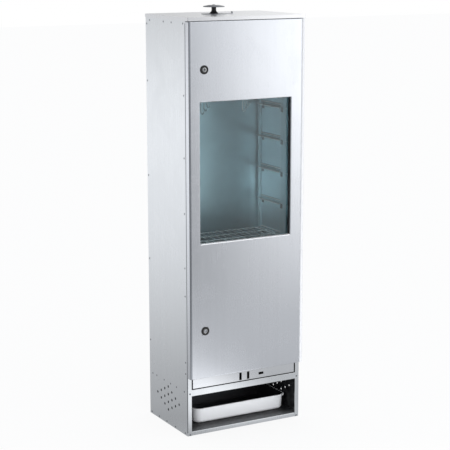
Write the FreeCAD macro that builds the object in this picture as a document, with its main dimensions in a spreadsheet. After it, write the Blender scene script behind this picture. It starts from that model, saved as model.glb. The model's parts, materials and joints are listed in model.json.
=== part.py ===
import FreeCAD, Part
import math
import os
import re
import Sketcher
from FreeCAD import Rotation, Vector

# Food smoker: a tall sheet-steel cabinet with a windowed door, a sawdust drawer and an open fire box.
# Millimetres, +Z up. The origin is on the ground, under the middle of the whole object. The door is at -Y.

document = FreeCAD.newDocument("food_smoker")
sizes = document.addObject("Spreadsheet::Sheet", "Sizes")

# Driving dimensions: name, millimetres, what it measures.
DRIVING = (
    ("body_width", 390.0, "over the two side panels"),
    ("body_depth", 258.0, "side panel, front face to back face"),
    ("body_tall", 1246.0, "side panel, ground to top edge"),
    ("wall", 1.0, "sheet thickness of the cabinet and the door"),
    ("stile", 14.0, "front return of a side panel"),
    ("rear_flange", 12.0, "back return of a side panel"),
    ("sill", 12.5, "ground to the floor of the fire box"),
    ("hem", 12.0, "return under the base tray, which stands on the ground"),
    ("fire_room", 111.2, "clear height of the fire box"),
    ("rail", 20.0, "front rail, the down-turned edge of the shelf"),
    ("heat_width", 250.0, "opening in the shelf under the drawer, along X"),
    ("heat_depth", 120.0, "opening in the shelf under the drawer, along Y"),
    ("bar_tall", 20.0, "face of a crossbar"),
    ("bar_ledge", 12.0, "ledge of a crossbar"),
    ("bar_drop", 1.0, "crossbar below the door's lower edge"),
    ("air_hole", 3.0, "radius of an air hole"),
    ("air_run", 24.3, "step of the air holes along Y"),
    ("air_rise", 12.3, "step of the air holes along Z"),
    ("air_height", 71.2, "middle of the air holes above the fire box floor"),
    ("cover_lip", 10.0, "down-turned lip of the top cover"),
    ("cover_play", 0.3, "lip of the top cover to the panel inside it"),
    ("vent_left", 32.0, "vent left of the cabinet's middle"),
    ("vent_hole", 8.0, "radius of a smoke hole"),
    ("vent_ring", 21.5, "smoke holes from the vent's axis"),
    ("door_deep", 18.5, "thickness of the door"),
    ("door_gap", 0.5, "closed door to the body"),
    ("door_inset", 0.5, "door's free edge inside the side panel's face"),
    ("door_play", 1.5, "door's upper edge under the cover's lip"),
    ("door_bend", 0.8, "bend radius round the door's face"),
    ("window_left", 36.5, "door's free edge to the window"),
    ("window_right", 37.5, "window to the door's hinge edge"),
    ("window_over", 408.5, "door's lower edge to the window"),
    ("window_under", 230.5, "window to the door's upper edge"),
    ("pane", 4.0, "thickness of the window glass"),
    ("pane_lap", 10.0, "glass beyond the window opening"),
    ("gasket", 1.0, "gasket in front of the glass"),
    ("gasket_edge", 1.5, "gasket round the rim of the glass"),
    ("frame_return", 8.0, "return of the door's frame, on which the liner lies"),
    ("leaf", 1.0, "thickness of a hinge leaf"),
    ("leaf_lap", 15.0, "hinge leaf on the side panel"),
    ("knuckle", 5.5, "outer radius of a hinge knuckle"),
    ("knuckle_gap", 0.4, "between two hinge knuckles"),
    ("pin", 2.5, "radius of the hinge pin"),
    ("running_play", 0.05, "radial play of a pin or shaft in its bore"),
    ("lock_in", 50.5, "door's free edge to the locks"),
    ("lock_drop", 137.0, "door's upper edge to the upper lock"),
    ("lock_over", 145.0, "door's lower edge to the lower lock"),
    ("bezel", 13.0, "radius of a lock's front ring"),
    ("bezel_out", 2.5, "lock's front ring before the door"),
    ("housing", 9.5, "radius of a lock's housing"),
    ("core", 7.0, "radius of a lock's turning core"),
    ("key_side", 6.5, "side of the square key socket"),
    ("key_deep", 7.0, "depth of the key socket"),
    ("lock_nut", 4.0, "thickness of the nut that holds a lock"),
    ("lock_nut_flat", 13.5, "middle to flat of that nut"),
    ("tail_side", 8.0, "side of the core's square tail"),
    ("cam", 2.5, "thickness of a lock cam"),
    ("cam_width", 18.0, "lock cam"),
    ("cam_corner", 4.5, "corner radius of a lock cam"),
    ("cam_reach", 46.0, "lock's axis to the cam's tip"),
    ("cam_heel", 12.6, "lock's axis to the cam's other end"),
    ("cam_play", 0.4, "cam behind the stile"),
    ("screw", 2.5, "radius of a cam screw"),
    ("screw_long", 9.0, "cam screw in the tail"),
    ("screw_head", 3.5, "height of the cam screw's head"),
    ("screw_flat", 5.0, "middle to flat of the cam screw's head"),
    ("drawer_room", 37.3, "shelf to the door's lower edge"),
    ("drawer_end_gap", 4.5, "drawer front to a stile"),
    ("drawer_play", 1.65, "gap under and over the drawer front"),
    ("drawer_fold", 8.0, "back-turned fold on the drawer front"),
    ("tray_inset", 5.0, "drawer tray inside the end of the drawer front"),
    ("tray_long", 200.0, "drawer tray, front to back"),
    ("tray_tall", 26.0, "drawer tray"),
    ("guide_play", 0.5, "drawer tray to its guide"),
    ("guide_tall", 14.0, "upright leg of a drawer guide"),
    ("guide_ledge", 12.0, "flat leg of a drawer guide, under the tray"),
    ("slot_over", 15.2, "drawer front's lower edge to the middle of its slots"),
    ("slot_width", 6.5, "upright slot in the drawer front"),
    ("slot_tall", 22.0, "upright slot in the drawer front"),
    ("slot_apart", 26.8, "between the two upright slots"),
    ("grip_left", 51.0, "drawer's middle to the flat slot"),
    ("grip_width", 15.5, "flat slot in the drawer front"),
    ("grip_tall", 6.0, "flat slot in the drawer front"),
    ("grip_corner", 1.5, "corner radius of the flat slot"),
    ("rack_upright", 40.0, "width of the rack's front upright"),
    ("rack_proud", 4.0, "rack upright before the side panel"),
    ("rack_before", 18.0, "front upright's rear edge before the body's middle"),
    ("rack_end", 10.0, "rack short of the stile and the back panel"),
    ("rack_top", 18.0, "rack under the top of the body"),
    ("ledge_first", 116.3, "shelf to the lowest rack ledge"),
    ("ledge_last", 86.0, "highest rack ledge under the top of the body"),
    ("ledge_wide", 12.0, "rack ledge"),
    ("ledge_tall", 10.0, "upright leg of a rack ledge"),
    ("grate_play", 2.0, "grate to the rack upright"),
    ("grate_rim", 2.5, "radius of the grate's rim and cross wires"),
    ("grate_wire", 1.25, "radius of the grate's fine wires"),
    ("grate_sink", 0.3, "fine wire welded into the wire below it"),
    ("grate_short", 8.0, "grate short of the rack's ends"),
    ("drip_deep", 14.0, "depth of the drip tray"),
    ("drip_rim", 14.0, "rim of the drip tray"),
    ("rod", 4.0, "radius of a hanging rod"),
    ("rod_step", 68.0, "between two hanging rods"),
    ("hook_wire", 1.5, "radius of a hook's wire"),
    ("hook_long", 92.0, "straight shank of a hook"),
    ("hook_bend", 9.0, "bend radius of a hook's lower end"),
    ("hook_play", 0.3, "hook's wire over the rod"),
    ("hook_step", 140.0, "between two hooks on a rod"),
    ("pan_room", 36.0, "fire pan's rim to the left stile"),
    ("pan_play", 1.0, "fire pan's rim to the right stile"),
    ("pan_wide", 176.0, "fire pan over its rim, along Y"),
    ("pan_deep", 48.0, "fire pan"),
    ("pan_wall", 1.0, "sheet thickness of the fire pan"),
    ("pan_rim", 5.0, "rim of the fire pan"),
    ("pan_curl", 3.0, "down-turned edge of the pan's rim"),
    ("pan_corner", 22.0, "corner radius of the pan under its rim"),
    ("pan_bottom", 8.0, "slope round the pan's bottom"),
    ("pan_draft", 3.0, "lean of the pan's sides, in degrees"),
    ("pan_in", 48.0, "pan's rim behind the body's front"),
    ("damper", 37.5, "radius of the damper plate"),
    ("damper_wall", 1.5, "thickness of the damper plate"),
    ("damper_tab", 62.0, "vent's axis to the end of the damper's tab"),
    ("tab_width", 10.0, "damper's tab"),
    ("tab_tip", 5.0, "upturned end of the damper's tab"),
    ("stop_ring", 32.5, "stop stud from the vent's axis"),
    ("stop_stud", 1.6, "radius of the stop stud"),
    ("stop_play", 0.4, "stop stud in its slot"),
    ("knob_foot", 13.0, "radius of the knob's foot"),
    ("knob_edge", 1.5, "upright edge of the knob's foot"),
    ("knob_cone", 9.0, "height of the knob's cone"),
    ("knob_post", 7.0, "radius of the knob's post"),
    ("knob_tall", 23.5, "knob, foot to cap"),
    ("cap", 32.0, "radius of the knob's cap"),
    ("cap_wall", 1.2, "thickness of the cap"),
    ("cap_flat", 17.6, "radius of the cap's flat top"),
    ("cap_crown", 4.0, "rise of the cap to its flat top"),
    ("cap_edge", 2.0, "down-turned edge of the cap"),
    ("spindle", 3.0, "radius of the damper's spindle"),
    ("spindle_head", 5.5, "radius of the spindle's head"),
    ("spindle_crown", 3.5, "radius of the head's flat top"),
    ("spindle_dome", 2.5, "height of the spindle's head"),
    ("washer", 8.0, "radius of the damper's washer"),
    ("washer_wall", 1.2, "thickness of the damper's washer"),
    ("damper_nut", 5.0, "thickness of the spindle's nut"),
    ("damper_nut_flat", 5.0, "middle to flat of the spindle's nut"),
)

AIR_HOLES_A_SIDE = 4
AIR_HOLE_SIDES = 12
HINGE_KNUCKLES = 9
RACK_LEDGES = 10
GRATE_LEDGE_INDEX = 3
ROD_LEDGE_INDEX = 8
RODS = 3
HOOKS_ON_A_ROD = 2
CROSS_WIRE_COUNT = 3
FINE_WIRE_COUNT = 16
WIRE_SIDES = 8
HOOK_SIDES = 6
HOOK_STEPS = 6
SMOKE_HOLES = 4
DAMPER_TURN = 45.0
SIDES = {"left": -1, "right": 1}

# Places that follow from the driving dimensions. Each may use the ones above it.
DERIVED = (
    ("half", "body_width / 2"),
    ("inner", "half - wall"),
    ("front", "-(body_depth + door_gap + door_deep + cover_play + wall - bezel_out) / 2"),
    ("door_back", "front + door_deep"),
    ("face", "door_back + door_gap"),
    ("behind_face", "face + wall"),
    ("back", "face + body_depth"),
    ("back_inside", "back - 2 * wall"),
    ("middle", "face + body_depth / 2"),
    ("shelf_low", "sill + fire_room"),
    ("shelf_top", "shelf_low + rail"),
    ("door_low", "shelf_top + drawer_room"),
    ("cover_top", "body_tall + wall"),
    ("cover_side", "half + cover_play + wall"),
    ("cover_back", "back + cover_play + wall"),
    ("door_high", "cover_top - cover_lip - door_play"),
    ("door_left", "-half + door_inset"),
    ("hinge_x", "half + leaf - knuckle"),
    ("hinge_y", "front + knuckle"),
    ("door_right", "hinge_x - knuckle"),
    ("window_x0", "door_left + window_left"),
    ("window_x1", "door_right - window_right"),
    ("window_z0", "door_low + window_over"),
    ("window_z1", "door_high - window_under"),
    ("liner_y", "door_back - wall"),
    ("pane_y", "liner_y - pane"),
    ("reveal_y", "pane_y - gasket"),
    ("leaf_y", "hinge_y + knuckle + cover_play"),
    ("lock_x", "door_left + lock_in"),
    ("cam_y", "behind_face + cam_play"),
    ("cam_back", "cam_y + cam"),
    ("bar_low", "door_low - bar_drop"),
    ("drawer_half", "half - stile - drawer_end_gap"),
    ("drawer_low", "shelf_top + drawer_play"),
    ("drawer_high", "bar_low - drawer_play"),
    ("slot_z", "drawer_low + slot_over"),
    ("tray_half", "drawer_half - tray_inset"),
    ("tray_z", "shelf_top + wall"),
    ("tray_back", "behind_face + tray_long"),
    ("guide_x", "tray_half + guide_play"),
    ("rack_y0", "behind_face + rack_end"),
    ("rack_y1", "back_inside - rack_end"),
    ("upright_y1", "middle - rack_before"),
    ("upright_y0", "upright_y1 - rack_upright"),
    ("ledge_inner", "inner - ledge_wide"),
    ("ledge_z", "shelf_top + ledge_first"),
    ("ledge_step", f"(body_tall - ledge_last - ledge_z) / {RACK_LEDGES - 1}"),
    ("grate_half", "inner - rack_proud - grate_play"),
    ("grate_y0", "rack_y0 + grate_short"),
    ("grate_y1", "rack_y1 - grate_short"),
    ("pan_x0", "-half + stile + pan_room"),
    ("pan_x1", "half - stile - pan_play"),
    ("pan_y0", "face + pan_in"),
    ("pan_mid_y", "pan_y0 + pan_wide / 2"),
    ("pan_top", "sill + pan_deep"),
    ("vent_x", "-vent_left"),
    ("damper_top", "cover_top + damper_wall"),
    ("cap_z", "damper_top + knob_tall"),
)

FORMULAS = {}
NAME = re.compile(r"[a-z][a-z0-9_]*")


def full(text):
    """Expression in which each named size is its cell and each derived place its own formula."""
    return NAME.sub(lambda found: FORMULAS.get(found.group(), found.group()), str(text))


def number(text):
    """Present value of an expression."""
    return float(sizes.evalExpression(full(text)))


for row, (name, value, note) in enumerate(DRIVING, start=1):
    sizes.set(f"A{row}", name)
    sizes.set(f"B{row}", str(value))
    sizes.set(f"C{row}", note)
    sizes.setAlias(f"B{row}", name)
    FORMULAS[name] = f"Sizes.{name}"
for name, text in DERIVED:
    FORMULAS[name] = f"({full(text)})"
document.recompute()

# Drawing helpers. A shape is a function that draws closed curves in a sketch and ties them to the sheet.


def tie(sketch, kind, place, text):
    """Constraint whose value is an expression."""
    constraint = sketch.addConstraint(Sketcher.Constraint(kind, *place, number(text)))
    sketch.setExpression(f"Constraints[{constraint}]", full(text))


def fix_point(sketch, curve, point, x, y):
    """Holds a point of a curve at two expressions from the sketch's origin."""
    tie(sketch, "DistanceX", (-1, 1, curve, point), x)
    tie(sketch, "DistanceY", (-1, 1, curve, point), y)


def polygon(*corners):
    """Closed outline with straight sides."""
    def draw(sketch):
        first = sketch.GeometryCount
        spots = [Vector(number(x), number(y), 0) for x, y in corners]
        count = len(corners)
        for index in range(count):
            sketch.addGeometry(Part.LineSegment(spots[index], spots[(index + 1) % count]))
        for index in range(count):
            following = first + (index + 1) % count
            sketch.addConstraint(Sketcher.Constraint("Coincident", first + index, 2, following, 1))
        for index, (x, y) in enumerate(corners):
            fix_point(sketch, first + index, 1, x, y)
    return draw


def rectangle(x0, y0, x1, y1):
    """Outline between two opposite corners."""
    return polygon((x0, y0), (x1, y0), (x1, y1), (x0, y1))


def circle(x, y, radius):
    """Circle about a point."""
    def draw(sketch):
        centre = Vector(number(x), number(y), 0)
        curve = sketch.addGeometry(Part.Circle(centre, Vector(0, 0, 1), number(radius)))
        fix_point(sketch, curve, 3, x, y)
        tie(sketch, "Radius", (curve,), radius)
    return draw


def corner_arcs(sketch, corners):
    """Closed outline of quarter turns, given as centre x, centre y and radius, joined by tangent lines."""
    first = sketch.GeometryCount
    count = len(corners)
    arcs = []
    for index, (x, y, radius) in enumerate(corners):
        ring = Part.Circle(Vector(number(x), number(y), 0), Vector(0, 0, 1), number(radius))
        arcs.append(Part.ArcOfCircle(ring, (index - 1) * math.pi / 2, index * math.pi / 2))
    for index, arc in enumerate(arcs):
        sketch.addGeometry(arc)
        sketch.addGeometry(Part.LineSegment(arc.EndPoint, arcs[(index + 1) % count].StartPoint))
    for index, (x, y, radius) in enumerate(corners):
        arc = first + 2 * index
        following = first + (2 * index + 2) % (2 * count)
        sketch.addConstraint(Sketcher.Constraint("Tangent", arc, 2, arc + 1, 1))
        sketch.addConstraint(Sketcher.Constraint("Tangent", arc + 1, 2, following, 1))
        fix_point(sketch, arc, 3, x, y)
        tie(sketch, "Radius", (arc,), radius)


def rounded(x0, y0, x1, y1, radius):
    """Rectangle with round corners."""
    left, right = f"({x0}) + ({radius})", f"({x1}) - ({radius})"
    low, high = f"({y0}) + ({radius})", f"({y1}) - ({radius})"
    corners = ((right, low, radius), (right, high, radius), (left, high, radius), (left, low, radius))
    return lambda sketch: corner_arcs(sketch, corners)


def slot(x, y, half_long, radius):
    """Upright slot with round ends about a point."""
    ends = (f"({y}) + ({half_long}) - ({radius})", f"({y}) - ({half_long}) + ({radius})")

    def draw(sketch):
        first = sketch.GeometryCount
        r = number(radius)
        for turn, end in enumerate(ends):
            ring = Part.Circle(Vector(number(x), number(end), 0), Vector(0, 0, 1), r)
            sketch.addGeometry(Part.ArcOfCircle(ring, turn * math.pi, (turn + 1) * math.pi))
        for turn in range(2):
            arc, other = sketch.Geometry[first + turn], sketch.Geometry[first + 1 - turn]
            line = sketch.addGeometry(Part.LineSegment(arc.EndPoint, other.StartPoint))
            sketch.addConstraint(Sketcher.Constraint("Tangent", first + turn, 2, line, 1))
            sketch.addConstraint(Sketcher.Constraint("Tangent", line, 2, first + 1 - turn, 1))
        for turn, end in enumerate(ends):
            fix_point(sketch, first + turn, 3, x, end)
        tie(sketch, "Radius", (first,), radius)
    return draw


def new_body(label):
    """Empty body for one sub-part."""
    part = document.addObject("PartDesign::Body", label)
    part.Label = label
    return part


def sketch_on(part, name, plane, place, shapes):
    """Sketch on one of the body's own planes, moved along the plane's axis to a place."""
    sketch = part.newObject("Sketcher::SketchObject", name + "_sketch")
    origin = next(item for item in part.Origin.OriginFeatures if item.Role == plane + "_Plane")
    sketch.AttachmentSupport = [(origin, "")]
    sketch.MapMode = "FlatFace"
    turned = "-1 * " if plane == "XZ" else ""
    sketch.setExpression("AttachmentOffset.Base.z", full(f"{turned}({place})"))
    for shape in shapes:
        shape(sketch)
    return sketch


def extrude(part, kind, name, plane, low, high, shapes):
    """Pad or pocket that fills the shapes from low to high along the plane's axis."""
    start = high if plane == "XZ" else low
    sketch = sketch_on(part, name, plane, start, shapes)
    feature = part.newObject(kind, name)
    feature.Profile = sketch
    feature.setExpression("Length", full(f"({high}) - ({low})"))
    sketch.Visibility = False
    return feature


def pad(part, name, plane, low, high, *shapes):
    """Adds material between two places along the plane's axis."""
    feature = extrude(part, "PartDesign::Pad", name, plane, low, high, shapes)
    document.recompute()
    return feature


def pocket(part, name, plane, low, high, *shapes):
    """Cuts material between two places along the plane's axis."""
    before = part.Shape.Volume
    feature = extrude(part, "PartDesign::Pocket", name, plane, low, high, shapes)
    feature.Reversed = True
    document.recompute()
    if part.Shape.Volume > before - 1e-6:
        raise RuntimeError(f"{part.Label}: {name} cuts nothing")
    return feature


def ease_edges(part, kind, name, size, wanted):
    """Fillet or chamfer on the edges of the body's tip that a test picks."""
    base = part.Tip
    edges = [f"Edge{index}" for index, edge in enumerate(base.Shape.Edges, start=1) if wanted(edge)]
    feature = part.newObject(kind, name)
    feature.Base = (base, edges)
    feature.setExpression("Radius" if kind == "PartDesign::Fillet" else "Size", full(size))
    document.recompute()
    return feature


def revolve(part, name, x, y, *shapes):
    """Turns shapes of the XZ plane about the upright line at x, y. Their x is counted from that line."""
    sketch = sketch_on(part, name, "XZ", "0", shapes)
    feature = part.newObject("PartDesign::Revolution", name)
    feature.Profile = sketch
    feature.ReferenceAxis = (sketch, ["V_Axis"])
    part.setExpression("Placement.Base.x", full(x))
    part.setExpression("Placement.Base.y", full(y))
    document.recompute()
    return feature


def repeat(part, name, features, axis, count, span):
    """Row of copies of features along one of the body's axes, the last one a span away."""
    feature = part.newObject("PartDesign::LinearPattern", name)
    feature.Originals = features
    direction = next(item for item in part.Origin.OriginFeatures if item.Role == axis + "_Axis")
    feature.Direction = (direction, [""])
    feature.Occurrences = count
    feature.setExpression("Length", full(span))
    part.Tip = feature
    document.recompute()
    return feature


def place(item, x, y, z):
    """Puts an object at three expressions."""
    for axis, text in zip("xyz", (x, y, z)):
        item.setExpression(f"Placement.Base.{axis}", full(text))
    return item


TURNS = {"X": Rotation(Vector(0, 1, 0), 90), "Y": Rotation(Vector(1, 0, 0), -90), "Z": Rotation()}


def cylinder(name, radius, length, axis, x, y, z):
    """Part primitive whose axis starts at a point and runs along +X, +Y or +Z."""
    item = document.addObject("Part::Cylinder", name)
    item.setExpression("Radius", full(radius))
    item.setExpression("Height", full(length))
    item.Placement = FreeCAD.Placement(Vector(), TURNS[axis])
    return place(item, x, y, z)


def prism(name, sides, flat, length, axis, x, y, z, turn=0.0):
    """Many-sided bar that starts at a point and runs along an axis. flat is its middle to a flat."""
    item = document.addObject("Part::Prism", name)
    item.Polygon = sides
    item.setExpression("Circumradius", full(f"({flat}) / cos({180 / sides})"))
    item.setExpression("Height", full(length))
    item.Placement = FreeCAD.Placement(Vector(), TURNS[axis] * Rotation(Vector(0, 0, 1), turn))
    return place(item, x, y, z)


def fuse(label, pieces):
    """One sub-part from pieces that touch."""
    joined = document.addObject("Part::MultiFuse", label)
    joined.Label = label
    joined.Shapes = pieces
    return joined


def cut(label, base, tool):
    """One sub-part from a base less a tool."""
    result = document.addObject("Part::Cut", label)
    result.Label = label
    result.Base = base
    result.Tool = tool
    return result


def group(label, pieces):
    """Separate, identical solids kept together."""
    gathered = document.addObject("Part::Compound", label)
    gathered.Label = label
    gathered.Links = pieces
    return gathered


# Cabinet


def side_panel(side):
    """Side sheet with a front and a back return and the fire box's air holes."""
    sign = SIDES[side]
    sheet = new_body(f"{side}_sheet")
    outline = (("half", "face"), ("half - stile", "face"), ("half - stile", "behind_face"),
               ("inner", "behind_face"), ("inner", "back - wall"), ("half - rear_flange", "back - wall"),
               ("half - rear_flange", "back"), ("half", "back"))
    section = polygon(*((f"{sign} * ({x})", y) for x, y in outline))
    pad(sheet, f"{side}_fold", "XY", "0", "body_tall", section)
    reach = AIR_HOLES_A_SIDE - 1
    start = "-half" if sign < 0 else "inner"
    holes = [prism(f"{side}_air_hole_{row}_{column}", AIR_HOLE_SIDES, "air_hole", "wall", "X", start,
                   f"middle + {row + column - reach} * air_run",
                   f"sill + air_height + {row - column} * air_rise")
             for row in range(AIR_HOLES_A_SIDE) for column in range(AIR_HOLES_A_SIDE)]
    return cut(f"{side}_side_panel", sheet, group(f"{side}_air_holes", holes))


def back_panel():
    """Flat sheet inside the back returns of the side panels."""
    part = new_body("back_panel")
    pad(part, "back_sheet", "XZ", "back_inside", "back - wall",
        rectangle("-inner", "0", "inner", "body_tall"))
    return part


def base_tray():
    """Floor of the fire box, folded down all round and hemmed inward where it stands on the ground."""
    part = new_body("base_tray")
    pad(part, "base_block", "XY", "0", "sill", rectangle("-inner", "behind_face", "inner", "back_inside"))
    pocket(part, "base_opening", "XY", "0", "wall",
           rectangle("-inner + hem", "behind_face + hem", "inner - hem", "back_inside - hem"))
    pocket(part, "base_hollow", "XY", "wall", "sill - wall",
           rectangle("-inner + wall", "behind_face + wall", "inner - wall", "back_inside - wall"))
    return part


def shelf():
    """Ceiling of the fire box and floor of the drawer. Its front edge is the rail."""
    part = new_body("shelf")
    pad(part, "shelf_block", "XY", "shelf_low", "shelf_top",
        rectangle("-inner", "behind_face", "inner", "back_inside"))
    pocket(part, "shelf_hollow", "XY", "shelf_low", "shelf_top - wall",
           rectangle("-inner + wall", "behind_face + wall", "inner - wall", "back_inside - wall"))
    pocket(part, "heat_opening", "XY", "shelf_top - wall", "shelf_top",
           rectangle("-heat_width / 2", "middle - heat_depth / 2",
                     "heat_width / 2", "middle + heat_depth / 2"))
    return part


def crossbar(label, edge, up):
    """Angle across the front, behind the stiles. Its ledge is at the edge, its face stands up or hangs."""
    part = new_body(label)
    sign = 1 if up else -1
    corners = (("behind_face", "0"), ("behind_face + bar_ledge", "0"),
               ("behind_face + bar_ledge", "wall"), ("behind_face + wall", "wall"),
               ("behind_face + wall", "bar_tall"), ("behind_face", "bar_tall"))
    pad(part, f"{label}_angle", "YZ", "-inner", "inner",
        polygon(*((y, f"{edge} + {sign} * ({z})") for y, z in corners)))
    return part


def ring_spots(count, radius, first):
    """Places on a ring about the vent's axis, as expressions."""
    angles = [math.radians(first + 360.0 * index / count) for index in range(count)]
    return [(f"vent_x + {math.cos(angle):.6f} * {radius}", f"middle + {math.sin(angle):.6f} * {radius}")
            for angle in angles]


def top_cover():
    """Lid sheet with a lip all round, which reaches forward over the door, and the vent's smoke holes."""
    part = new_body("top_cover")
    pad(part, "cover_block", "XY", "cover_top - cover_lip", "cover_top",
        rectangle("-cover_side", "front", "cover_side", "cover_back"))
    pocket(part, "cover_hollow", "XY", "cover_top - cover_lip", "body_tall",
           rectangle("-cover_side + wall", "front + wall", "cover_side - wall", "cover_back - wall"))
    smoke = [circle(x, y, "vent_hole") for x, y in ring_spots(SMOKE_HOLES, "vent_ring", DAMPER_TURN)]
    pocket(part, "smoke_holes", "XY", "body_tall", "cover_top",
           circle("vent_x", "middle", "spindle + running_play"), *smoke)
    pad(part, "stop_stud", "XY", "cover_top", "damper_top",
        circle(*ring_spots(1, "stop_ring", 2 * DAMPER_TURN)[0], "stop_stud"))
    return part


cabinet = [side_panel("left"), side_panel("right"), back_panel(), base_tray(), shelf(),
           crossbar("lower_crossbar", "bar_low", True), crossbar("upper_crossbar", "body_tall", False),
           top_cover()]

# Door


def window_outline(grow="0"):
    """Window opening, grown all round by an expression."""
    return rectangle(f"window_x0 - ({grow})", f"window_z0 - ({grow})",
                     f"window_x1 + ({grow})", f"window_z1 + ({grow})")


LOCK_HEIGHTS = {"upper": "door_high - lock_drop", "lower": "door_low + lock_over"}


def lock_holes():
    """Round holes for the two locks."""
    return [circle("lock_x", height, "housing") for height in LOCK_HEIGHTS.values()]


def on_face_rim(edge):
    """Whether an edge lies in the plane of the door's front face."""
    box = edge.BoundBox
    return abs(box.YMin - number("front")) + abs(box.YMax - number("front")) < 1e-4


def door_outline(inset="0"):
    """Outline of the whole door, or of its inside by an inset."""
    return rectangle(f"door_left + ({inset})", f"door_low + ({inset})",
                     f"door_right - ({inset})", f"door_high - ({inset})")


def door_skin():
    """Front sheet with a small bend all round, the window's opening and the holes for the locks."""
    part = new_body("door_skin")
    pad(part, "skin_sheet", "XZ", "front", "front + wall", door_outline())
    ease_edges(part, "PartDesign::Fillet", "skin_bend", "door_bend", on_face_rim)
    pocket(part, "skin_window", "XZ", "front", "front + wall", window_outline())
    pocket(part, "skin_lock_holes", "XZ", "front", "front + wall", *lock_holes())
    return part


def door_frame():
    """The four edges of the door, behind the skin, with a return on which the liner lies."""
    part = new_body("door_frame")
    pad(part, "frame_block", "XZ", "front + wall", "door_back", door_outline())
    pocket(part, "frame_opening", "XZ", "front + wall", "door_back", door_outline("wall + frame_return"))
    pocket(part, "frame_front", "XZ", "front + wall", "liner_y - wall", door_outline("wall"))
    pocket(part, "frame_seat", "XZ", "liner_y", "door_back", door_outline("wall"))
    return part


def window_frame():
    """The four folded edges of the window, from the skin back to the gasket."""
    part = new_body("window_frame")
    pad(part, "reveal_block", "XZ", "front + wall", "reveal_y", window_outline("wall"))
    pocket(part, "reveal_opening", "XZ", "front + wall", "reveal_y", window_outline())
    return part


def door_liner():
    """Inner sheet of the door, inside its frame. It presses the glass on its gasket."""
    part = new_body("door_liner")
    pad(part, "liner_sheet", "XZ", "liner_y", "door_back", door_outline("wall"))
    pocket(part, "liner_window", "XZ", "liner_y", "door_back", window_outline())
    pocket(part, "liner_lock_holes", "XZ", "liner_y", "door_back", *lock_holes())
    return part


def window_glass():
    """Flat pane."""
    part = new_body("window_glass")
    pad(part, "pane_block", "XZ", "pane_y", "liner_y", window_outline("pane_lap"))
    return part


def glass_gasket():
    """Angle-section frame in front of the glass and round its rim."""
    part = new_body("glass_gasket")
    pad(part, "gasket_block", "XZ", "reveal_y", "liner_y", window_outline("pane_lap + gasket_edge"))
    pocket(part, "gasket_seat", "XZ", "pane_y", "liner_y", window_outline("pane_lap"))
    pocket(part, "gasket_window", "XZ", "reveal_y", "pane_y", window_outline())
    return part


def hinge_leaf(label, plate, tab, first, count):
    """Leaf with every second knuckle. plate and tab are its sections seen from above."""
    part = new_body(label)
    pitch = f"(door_high - door_low) / {HINGE_KNUCKLES}"
    low = f"door_low + {first} * {pitch} + knuckle_gap / 2"
    high = f"door_low + {first + 1} * {pitch} - knuckle_gap / 2"
    pad(part, f"{label}_plate", "XY", "door_low", "door_high", rectangle(*plate))
    web = pad(part, f"{label}_web", "XY", low, high, rectangle(*tab))
    eye = pad(part, f"{label}_eye", "XY", low, high, circle("hinge_x", "hinge_y", "knuckle"))
    repeat(part, f"{label}_row", [web, eye], "Z", count, f"{2 * (count - 1)} * {pitch}")
    pocket(part, f"{label}_bore", "XY", "door_low", "door_high",
           circle("hinge_x", "hinge_y", "pin + running_play"))
    return part


def hinge_pin():
    """Round pin through all the knuckles."""
    return cylinder("hinge_pin", "pin", "door_high - door_low", "Z", "hinge_x", "hinge_y", "door_low")


DOOR_KNUCKLES = HINGE_KNUCKLES // 2
door = [door_skin(), door_frame(), window_frame(), door_liner(), window_glass(), glass_gasket(),
        hinge_leaf("hinge_door_leaf", ("door_right", "leaf_y", "door_right + leaf", "door_back"),
                   ("door_right", "hinge_y", "door_right + leaf", "leaf_y"), 1, DOOR_KNUCKLES)]
hinge = [hinge_leaf("hinge_body_leaf", ("half", "leaf_y", "half + leaf", "face + leaf_lap"),
                    ("half", "hinge_y", "half + leaf", "leaf_y"), 0, HINGE_KNUCKLES - DOOR_KNUCKLES),
         hinge_pin()]

# Locks


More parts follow.
